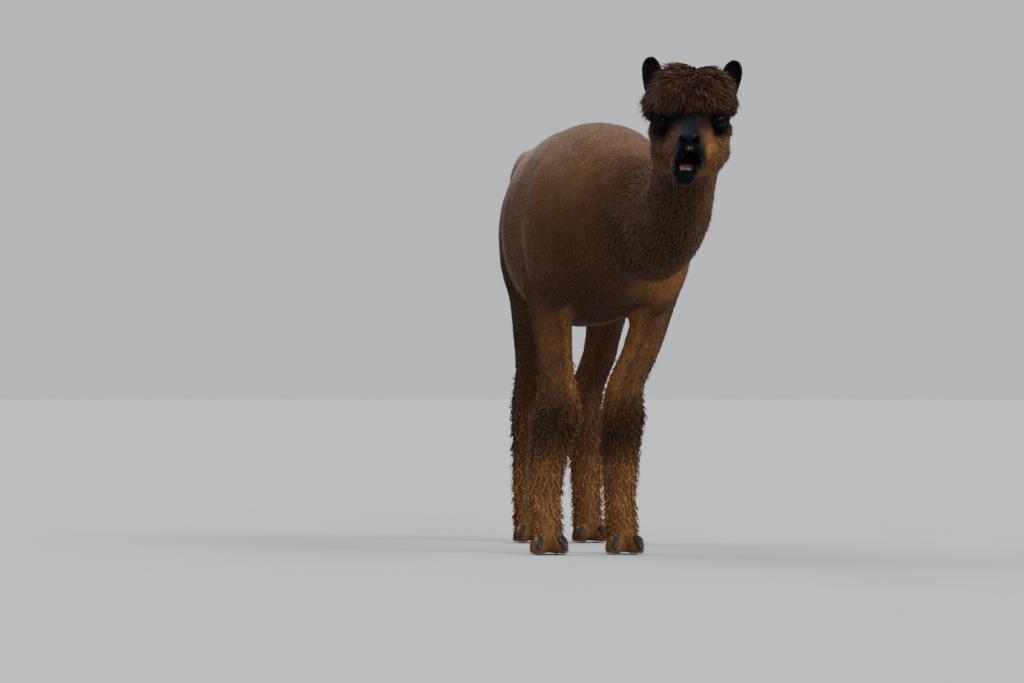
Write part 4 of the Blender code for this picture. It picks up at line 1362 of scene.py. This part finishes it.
class AlpacaColours(bpy.types.PropertyGroup):
    coat: paint("Coat", "Main brown of the coat", (0.078, 0.037, 0.0190))
    coat_light: paint("Coat, light", "Lighter brown that drifts through it", (0.120, 0.060, 0.032))
    # golden hair, and also the painted light on the side that faces the key lamp
    warm: paint("Warm", "Golden brown of the shoulder, cheeks and inner legs", (0.470, 0.212, 0.072))
    # darker hair, and also the painted shade under the body, the neck and the mop
    dark: paint("Dark", "Darkest brown, under the body and on the knees", (0.028, 0.0125, 0.0048))
    # sun-bleached hair, and also the painted sky light on the back's top
    faded: paint("Faded", "Dusty brown along the back", (0.680, 0.545, 0.440))
    bare: paint("Bare", "Blue-black of the muzzle, eye rims and ears", (0.0026, 0.0032, 0.0054))
    # a painted reflection of the sky on the bare bridge
    bloom: paint("Bloom", "Blue bloom along the bare bridge", (0.0105, 0.0160, 0.0260))
    gum: paint("Gum", "Inside of the mouth", (0.012, 0.008, 0.008))
    mop: paint("Topknot", "Main brown of the topknot", (0.066, 0.029, 0.018))
    mop_tips: paint("Topknot tips", "Lighter ends of its locks", (0.270, 0.128, 0.070))
    tips: paint("Tips", "Lighter ends of the body's tufts", (0.260, 0.140, 0.070))
    tongue: paint("Tongue", "Pink of the tongue", (0.24, 0.115, 0.075))
    tongue_dark: paint("Tongue, dark", "Deeper pink in its mottling", (0.20, 0.08, 0.07))
    teeth: paint("Teeth", "Ivory of the incisors", (0.24, 0.20, 0.11))
    stain: paint("Stain", "Brown stain on the incisors", (0.30, 0.22, 0.11))
    nail: paint("Nails", "Dark horn of the nails", (0.013, 0.010, 0.008))
    nail_light: paint("Nails, light", "Paler rings of the horn", (0.034, 0.026, 0.019))
    iris: paint("Iris", "Dark brown of the eyes", (0.0040, 0.0024, 0.0018))
    iris_light: paint("Iris, light", "Lighter threads in the iris", (0.0100, 0.0055, 0.0032))
    eye_white: paint("Eye's rim", "The ball's dark brown around the iris", (0.0030, 0.0024, 0.0022))
    pupil: paint("Pupil", "Blue-black of the pupil", (0.001, 0.001, 0.0015))
    floor: paint("Floor", "Pale floor", (0.46, 0.47, 0.475))
    floor_light: paint("Floor, light", "Its faint mottling", (0.48, 0.49, 0.495))


def settings():
    scene = bpy.context.scene
    return scene.alpaca_coat, scene.alpaca_colours


class ALPACA_OT_skin(bpy.types.Operator):
    """Make the skin: head, neck, trunk, tail, legs and feet in one"""

    bl_idname = "alpaca.skin"
    bl_label = "Skin"

    def execute(self, context):
        obj = make_skin()
        unwrap(obj)
        skin = Skin(obj)
        skin.lie = lie_of_coat(skin)
        skin.store("lie", skin.lie)
        shape_of_coat(skin, paint_masks(skin))
        skin.store("part", np.array([part_of(name) for name in skin.node], float))
        obj.data.materials.clear()
        obj.data.materials.append(skin_material(settings()[1]))
        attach(obj, "root")
        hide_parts(*FLESH)
        return {"FINISHED"}


SHORT_BENDS = (             # one row for each tuft of a set: its bend, sway and twist
    (0.10, 0.00, 0.0),
    (0.16, 0.06, 0.2),
    (0.13, -0.07, -0.2),
    (0.20, 0.02, 0.3),
    (0.07, -0.03, 0.1),
)
CURL_BENDS = (              # and its waves
    (0.20, 0.12, 0.9, 0.13),
    (0.26, -0.18, -0.9, -0.15),
    (0.16, 0.22, 1.2, 0.10),
    (0.30, -0.08, 0.6, 0.16),
    (0.22, 0.06, -1.1, -0.12),
)
LOCK_BENDS = (
    (0.18, 0.08, 0.3, 0.050),
    (0.26, -0.16, -0.4, -0.065),
    (0.10, 0.20, 0.5, 0.045),
    (0.30, -0.05, 0.2, 0.075),
    (0.16, 0.14, -0.3, -0.050),
    (0.05, -0.12, 0.4, 0.060),
    (0.22, -0.24, 0.6, -0.040),
)
TAIL_DENSITY = 26000        # locks or tufts per square metre
EAR_DENSITY = 260000
TAIL_WIDTH = 0.0040         # the width of one
EAR_WIDTH = 0.0011
FACE_WIDTH = 0.0022
SHAG_WIDTH = 0.0044
MOP_DOWN_WIDTH = 0.0040
SHAG_LENGTH = 0.88          # shares of the length that a tuft's place asks for
MOP_DOWN_LENGTH = 0.42
SOLE_TRIM = 0.006           # no coat grows under the feet


def coat_piece(name, kind, bends, grow, material, density, width,
               ruffle=0.16, length=1.0, salt=0):
    """A piece of the coat, made by the Coat tree."""
    group = tuft_set(kind, bends)
    tree = bpy.data.node_groups.get("Coat") or coat_tree()
    made = grow_coat(name, made_skin(), tree, grow, {
        "Tufts": group, "Density": density, "Length": length, "Width": width, "Ruffle": ruffle,
        "Seed": settings()[0].seed + salt, "Material": material})
    drop_set(group)
    if len(made.data.polygons) == 0:
        raise RuntimeError(f"{name} has no tufts")
    return made


def coat_material(name="coat", sheen=HAIR_SHEEN):
    colours = settings()[1]
    return bpy.data.materials.get(name) or tuft_material(name, colours, colours.tips, sheen)


class ALPACA_OT_body_coat(bpy.types.Operator):
    """Grow the short coat of the trunk, neck and tail"""

    bl_idname = "alpaca.body_coat"
    bl_label = "Body coat"

    def execute(self, context):
        coat = settings()[0]
        skin = made_skin()
        p = read_points(skin.data)
        trunk = part_mask(skin, "trunk")
        halfway = (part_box("trunk")[0].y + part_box("trunk")[1].y) / 2
        ends = {"front": p[:, 1] < halfway, "back": p[:, 1] >= halfway}
        for k, (side, sign) in enumerate(SIDES.items()):
            for j, (end, on_end) in enumerate(ends.items()):
                grow = trunk * (sign * p[:, 0] >= 0) * on_end
                coat_piece(f"coat_trunk_{side}_{end}", "down", SHORT_BENDS, grow, coat_material(),
                           coat.trunk_density, coat.down_width, salt=2 * k + j)
        coat_piece("coat_neck", "short", SHORT_BENDS, part_mask(skin, "neck"), coat_material(),
                   coat.neck_density, coat.down_width, ruffle=0.24, salt=10)
        coat_piece("coat_tail", "lock", LOCK_BENDS, part_mask(skin, "tail"), coat_material(),
                   TAIL_DENSITY, TAIL_WIDTH, ruffle=0.3, salt=11)
        return {"FINISHED"}


class ALPACA_OT_leg_coats(bpy.types.Operator):
    """Grow the coat of the legs and feet"""

    bl_idname = "alpaca.leg_coats"
    bl_label = "Leg coats"

    def execute(self, context):
        coat = settings()[0]
        skin = made_skin()
        p = read_points(skin.data)
        for k, leg in enumerate(LEGS):
            grow = part_mask(skin, leg) * (p[:, 2] > SOLE_TRIM)
            coat_piece("coat_" + leg, "down", SHORT_BENDS, grow, coat_material(),
                       coat.leg_density, coat.tuft_width, ruffle=0.26, salt=20 + k)
            shaggy = grow * smoothstep(0.44, 0.26, p[:, 2]) * smoothstep(0.03, 0.06, p[:, 2])
            coat_piece("shag_" + leg, "lock", CURL_BENDS, shaggy, coat_material(),
                       coat.shag_density, SHAG_WIDTH, ruffle=0.30, length=SHAG_LENGTH, salt=24 + k)
        return {"FINISHED"}


class ALPACA_OT_face_coat(bpy.types.Operator):
    """Grow the fine coat of the face and ears"""

    bl_idname = "alpaca.face_coat"
    bl_label = "Face coat"

    def execute(self, context):
        coat = settings()[0]
        skin = made_skin()
        h = turned(HEAD.inverted(), read_points(skin.data))
        grow = part_mask(skin, "head") * (1 - smoothstep(0.02, 0.3, read_attribute(skin, "wet")))
        grow *= 1 - read_attribute(skin, "mouth") > 0.9
        nose = smoothstep(-0.128, -0.140, h[:, 1]) * (h[:, 2] > -0.062)
        grow *= 1 - nose
        fine = coat_material("face_coat", FACE_SHEEN)
        coat_piece("coat_face", "short", SHORT_BENDS, grow, fine,
                   coat.face_density, FACE_WIDTH, ruffle=0.32, salt=30)
        for k, side in enumerate(SIDES):
            coat_piece("coat_ear_" + side, "short", SHORT_BENDS, part_mask(skin, "ear_" + side), fine,
                       EAR_DENSITY, EAR_WIDTH, salt=31 + k)
        return {"FINISHED"}


class ALPACA_OT_topknot(bpy.types.Operator):
    """Grow the tousled mop between the ears"""

    bl_idname = "alpaca.topknot"
    bl_label = "Topknot"

    def execute(self, context):
        coat, colours = settings()
        material = mop_material(colours)
        grow = part_mask(made_skin(), "topknot")
        coat_piece("topknot_down", "short", SHORT_BENDS, grow, material, coat.down_density, MOP_DOWN_WIDTH,
                   ruffle=0.35, length=MOP_DOWN_LENGTH, salt=41)
        made = coat_piece("topknot_locks", "lock", LOCK_BENDS, grow, material, coat.mop_density,
                          coat.lock_width, ruffle=0.42, salt=40)
        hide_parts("topknot")
        return {"FINISHED"}


EYE_SHINE = 0.07            # specular level
IRIS_EDGE = (0.74, 0.66)    # where the iris fades out, in shares of the ball's radius
CORNEA_EDGE = 0.72
CORNEA_RISE = 0.035
PUPIL_WIDE = 0.46           # half the pupil's width and height, in the same shares
PUPIL_HIGH = 0.24
PUPIL_EDGE = (1.08, 0.92)


def eyeball(side):
    """A ball that bulges a little in front, with the iris and the pupil marked on its points."""
    bm = bmesh.new()
    bmesh.ops.create_uvsphere(bm, u_segments=64, v_segments=40, radius=EYE_RADIUS,
                              matrix=Matrix.Rotation(math.radians(90), 4, "X"))
    iris = bm.verts.layers.float.new("iris")
    pupil = bm.verts.layers.float.new("pupil")
    for vert in bm.verts:
        if vert.co.y <= 0:
            continue
        off = math.hypot(vert.co.x, vert.co.z) / EYE_RADIUS
        vert[iris] = float(smoothstep(*IRIS_EDGE, off))
        vert.co *= 1 + CORNEA_RISE * float(smoothstep(CORNEA_EDGE, 0.0, off))
        oval_off = math.hypot(vert.co.x / PUPIL_WIDE, vert.co.z / PUPIL_HIGH) / EYE_RADIUS
        vert[pupil] = float(smoothstep(*PUPIL_EDGE, oval_off))
    bm.transform(eye_frame(side))
    shade_smooth(bm)
    return object_from("eyeball_" + side, bm)


def eye_material(name, colours):
    made, nodes, shader = new_material(name)
    threads = nodes.ramp(nodes.noise(900.0, 3.0), ((0.4, 0.0), (0.7, 0.6)))
    iris = nodes.mix(threads, opaque(colours.iris), opaque(colours.iris_light))
    colour = nodes.mix(nodes.attribute("iris"), opaque(colours.eye_white), iris)
    colour = nodes.mix(nodes.attribute("pupil"), colour, opaque(colours.pupil))
    feed(nodes, shader, base_color=colour, roughness=0.04)
    shader.inputs["Specular IOR Level"].default_value = EYE_SHINE
    return made


class ALPACA_OT_eyes(bpy.types.Operator):
    """Make the two eyes, each a glossy ball with a brown iris and a wide pupil"""

    bl_idname = "alpaca.eyes"
    bl_label = "Eyes"

    def execute(self, context):
        for side in SIDES:
            eye = eyeball(side)
            eye.data.materials.append(eye_material(eye.name, settings()[1]))
            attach(eye, "root")
            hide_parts("eye_" + side)
        return {"FINISHED"}


INCISORS = 6
INCISOR_MIDDLE = (-0.005, -0.1050, -0.1036)   # the middle of their arc, in the head's frame
INCISOR_ARC = 0.0145        # radius of the row of incisors
INCISOR_STEP = math.radians(19)
INCISOR_LEAN = math.radians(24)
INCISOR_WIDTH = 0.0048
INCISOR_DEPTH = 0.0034
INCISOR_ROWS = (            # height from root to edge, share of the width and of the depth
    (-0.0080, 0.70, 0.9),
    (-0.0030, 0.86, 1.0),
    (0.0030, 1.0, 0.85),
    (0.0060, 0.98, 0.5),
    (0.0068, 0.80, 0.25),
)
TONGUE_ROWS = (             # x, y, z, half width and half depth in the head's frame, from root to tip
    (0.4 * JAW_X, -0.045, -0.0850, 0.0120, 0.0040),
    (0.7 * JAW_X, -0.075, -0.0890, 0.0135, 0.0055),
    (JAW_X, -0.098, -0.0935, 0.0120, 0.0048),
    (JAW_X, -0.110, -0.0965, 0.0075, 0.0032),
    (JAW_X, -0.114, -0.0980, 0.0030, 0.0016),
)
TONGUE_GROOVE_WIDTH = 0.0022
TONGUE_GROOVE_DEPTH = 0.0016


def incisors():
    """A row of chisel-shaped teeth on an arc."""
    bm = bmesh.new()
    rows = [(0.0, 0.0, z, 0.5 * INCISOR_WIDTH * w, 0.5 * INCISOR_DEPTH * d) for z, w, d in INCISOR_ROWS]
    for k in range(INCISORS):
        turn = Matrix.Rotation((k - (INCISORS - 1) / 2) * INCISOR_STEP, 4, "Z")
        lean = Matrix.Rotation(INCISOR_LEAN, 4, "X")
        tooth = bmesh.new()
        add_tube(tooth, rows, steps=3, sides=14)
        tooth.transform(HEAD @ Matrix.Translation(INCISOR_MIDDLE) @ turn
                        @ Matrix.Translation((0.0, -INCISOR_ARC, 0.0)) @ lean)
        take_in(bm, tooth)
    shade_smooth(bm)
    return object_from("teeth", bm)


def tongue_flesh():
    """A flat loft with a groove along its top."""
    rings = []
    for x, y, z, half, deep in catmull_rom(TONGUE_ROWS, 6):
        a, b = oval(half, deep, 28, 2.3)
        groove = TONGUE_GROOVE_DEPTH * np.exp(-(a / TONGUE_GROOVE_WIDTH) ** 2) * (b > 0)
        rings.append(np.column_stack((x + a, np.full(len(a), y), z + b - groove)))
    bm = bmesh.new()
    add_rings(bm, rings)
    bm.transform(HEAD)
    shade_smooth(bm)
    return object_from("tongue_flesh", bm)


def teeth_material(colours):
    made, nodes, shader = new_material("teeth")
    stain = nodes.ramp(nodes.noise(420.0, 3.0), ((0.35, 0.0), (0.75, 1.0)))
    ivory = nodes.mix(stain, opaque(colours.teeth), opaque(colours.stain))
    feed(nodes, shader, base_color=ivory, roughness=0.28)
    return made


def tongue_material(colours):
    made, nodes, shader = new_material("tongue")
    mottle = nodes.ramp(nodes.noise(160.0, 3.0), ((0.3, 0.0), (0.7, 1.0)))
    buds = nodes.bump(nodes.noise(1500.0, 2.0), 0.0006, 0.5)
    pink = nodes.mix(mottle, opaque(colours.tongue), opaque(colours.tongue_dark))
    feed(nodes, shader, base_color=pink, roughness=0.38, normal=buds)
    return made


class ALPACA_OT_mouth(bpy.types.Operator):
    """Make the lower incisors and the tongue"""

    bl_idname = "alpaca.mouth"
    bl_label = "Teeth and tongue"

    def execute(self, context):
        colours = settings()[1]
        teeth = incisors()
        teeth.data.materials.append(teeth_material(colours))
        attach(teeth, "root")
        tongue = tongue_flesh()
        tongue.data.materials.append(tongue_material(colours))
        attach(tongue, "root")
        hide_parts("tongue")
        return {"FINISHED"}


NAIL_SHINE = 0.2            # specular level


def nail_material(colours):
    made, nodes, shader = new_material("nails")
    rings = nodes.noise(260.0, 2.0, (0.4, 2.2, 1.0))
    ringed = nodes.ramp(rings, ((0.3, 0.0), (0.7, 1.0)))
    shader.inputs["Specular IOR Level"].default_value = NAIL_SHINE
    horn = nodes.mix(ringed, opaque(colours.nail), opaque(colours.nail_light))
    feed(nodes, shader, base_color=horn, roughness=0.48, normal=nodes.bump(rings, 0.001, 0.4))
    return made


class ALPACA_OT_nails(bpy.types.Operator):
    """Make the eight nails"""

    bl_idname = "alpaca.nails"
    bl_label = "Nails"

    def execute(self, context):
        nodes_of_nails = sorted(name for name in frame["nodes"] if name.startswith("nail_"))
        bm = cad_shapes(nodes_of_nails)
        shade_smooth(bm)
        nails = object_from("nails", bm)
        subdivide = nails.modifiers.new("Round", "SUBSURF")
        subdivide.levels = subdivide.render_levels = 2
        evaluate(nails)
        nails.data.materials.append(nail_material(settings()[1]))
        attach(nails, "root")
        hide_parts(*nodes_of_nails)
        return {"FINISHED"}


# ---------------------------------------------------------------- the stage
CAMERA_AT = (-1.2459, -8.0081, 0.37)
CAMERA_PITCH = math.radians(90.5446)
CAMERA_TURN = math.radians(-7.5)
FOCAL_LENGTH = 135.0        # millimetres, on a sensor 36 wide
FLOOR_RADIUS = 60.0
BACKDROP = (0.93, 0.96, 1.00, 1.0)
BACKDROP_POWER = 0.72
LAMPS = (                   # name, where it shines from, its spread in degrees, its power
    ("key", (4.2, -3.5, 4.6), 26.0, 2.0),
    ("sparkle", (0.6, -5.0, 2.0), 18.0, 0.90),
    ("rim", (-3.0, 3.6, 4.6), 40.0, 1.9),
)


def floor_material(colours):
    made, nodes, shader = new_material("floor")
    mottle = nodes.ramp(nodes.noise(2.5, 4.0), ((0.3, 0.0), (0.7, 1.0)))
    pale = nodes.mix(mottle, opaque(colours.floor), opaque(colours.floor_light))
    feed(nodes, shader, base_color=pale, roughness=0.85)
    return made


class ALPACA_OT_stage(bpy.types.Operator):
    """Lay the pale floor and set up the lights and the camera"""

    bl_idname = "alpaca.stage"
    bl_label = "Stage"

    def execute(self, context):
        scene = context.scene
        bm = bmesh.new()
        bmesh.ops.create_circle(bm, cap_ends=True, radius=FLOOR_RADIUS, segments=96)
        floor = object_from("floor", bm)
        floor.data.materials.append(floor_material(settings()[1]))

        world = bpy.data.worlds.new("studio")
        world.use_nodes = True
        backdrop = world.node_tree.nodes["Background"]
        backdrop.inputs["Color"].default_value = BACKDROP
        backdrop.inputs["Strength"].default_value = BACKDROP_POWER
        scene.world = world
        for name, place, spread, power in LAMPS:
            light = bpy.data.lights.new(name, "SUN")
            light.angle = math.radians(spread)
            light.energy = power
            lamp = new_object(name, light)
            lamp.location = place
            lamp.rotation_euler = (-Vector(place)).to_track_quat("-Z", "Y").to_euler()

        camera = bpy.data.cameras.new("camera")
        camera.lens = FOCAL_LENGTH
        camera.clip_end = 200.0
        holder = new_object("camera", camera)
        holder.location = CAMERA_AT
        holder.rotation_euler = (CAMERA_PITCH, 0.0, CAMERA_TURN)
        scene.camera = holder
        return {"FINISHED"}


class ALPACA_PT_panel(bpy.types.Panel):
    bl_idname = "ALPACA_PT_panel"
    bl_label = "Alpaca"
    bl_space_type = "VIEW_3D"
    bl_region_type = "UI"
    bl_category = "Alpaca"

    def draw(self, context):
        layout = self.layout
        for group in settings():
            box = layout.box()
            for name in group.__annotations__:
                box.prop(group, name)
        for step in STEPS:
            layout.operator(step.bl_idname)


STEPS = (
    ALPACA_OT_skin,
    ALPACA_OT_body_coat,
    ALPACA_OT_leg_coats,
    ALPACA_OT_face_coat,
    ALPACA_OT_topknot,
    ALPACA_OT_eyes,
    ALPACA_OT_mouth,
    ALPACA_OT_nails,
    ALPACA_OT_stage,
)
CLASSES = (AlpacaCoat, AlpacaColours, *STEPS, ALPACA_PT_panel)


def register():
    for cls in CLASSES:
        bpy.utils.register_class(cls)
    bpy.types.Scene.alpaca_coat = PointerProperty(type=AlpacaCoat)
    bpy.types.Scene.alpaca_colours = PointerProperty(type=AlpacaColours)


def unregister():
    del bpy.types.Scene.alpaca_coat
    del bpy.types.Scene.alpaca_colours
    for cls in reversed(CLASSES):
        bpy.utils.unregister_class(cls)


def main():
    register()
    for step in STEPS:
        group, name = step.bl_idname.split(".")
        getattr(getattr(bpy.ops, group), name)()


if __name__ == "__main__":
    main()
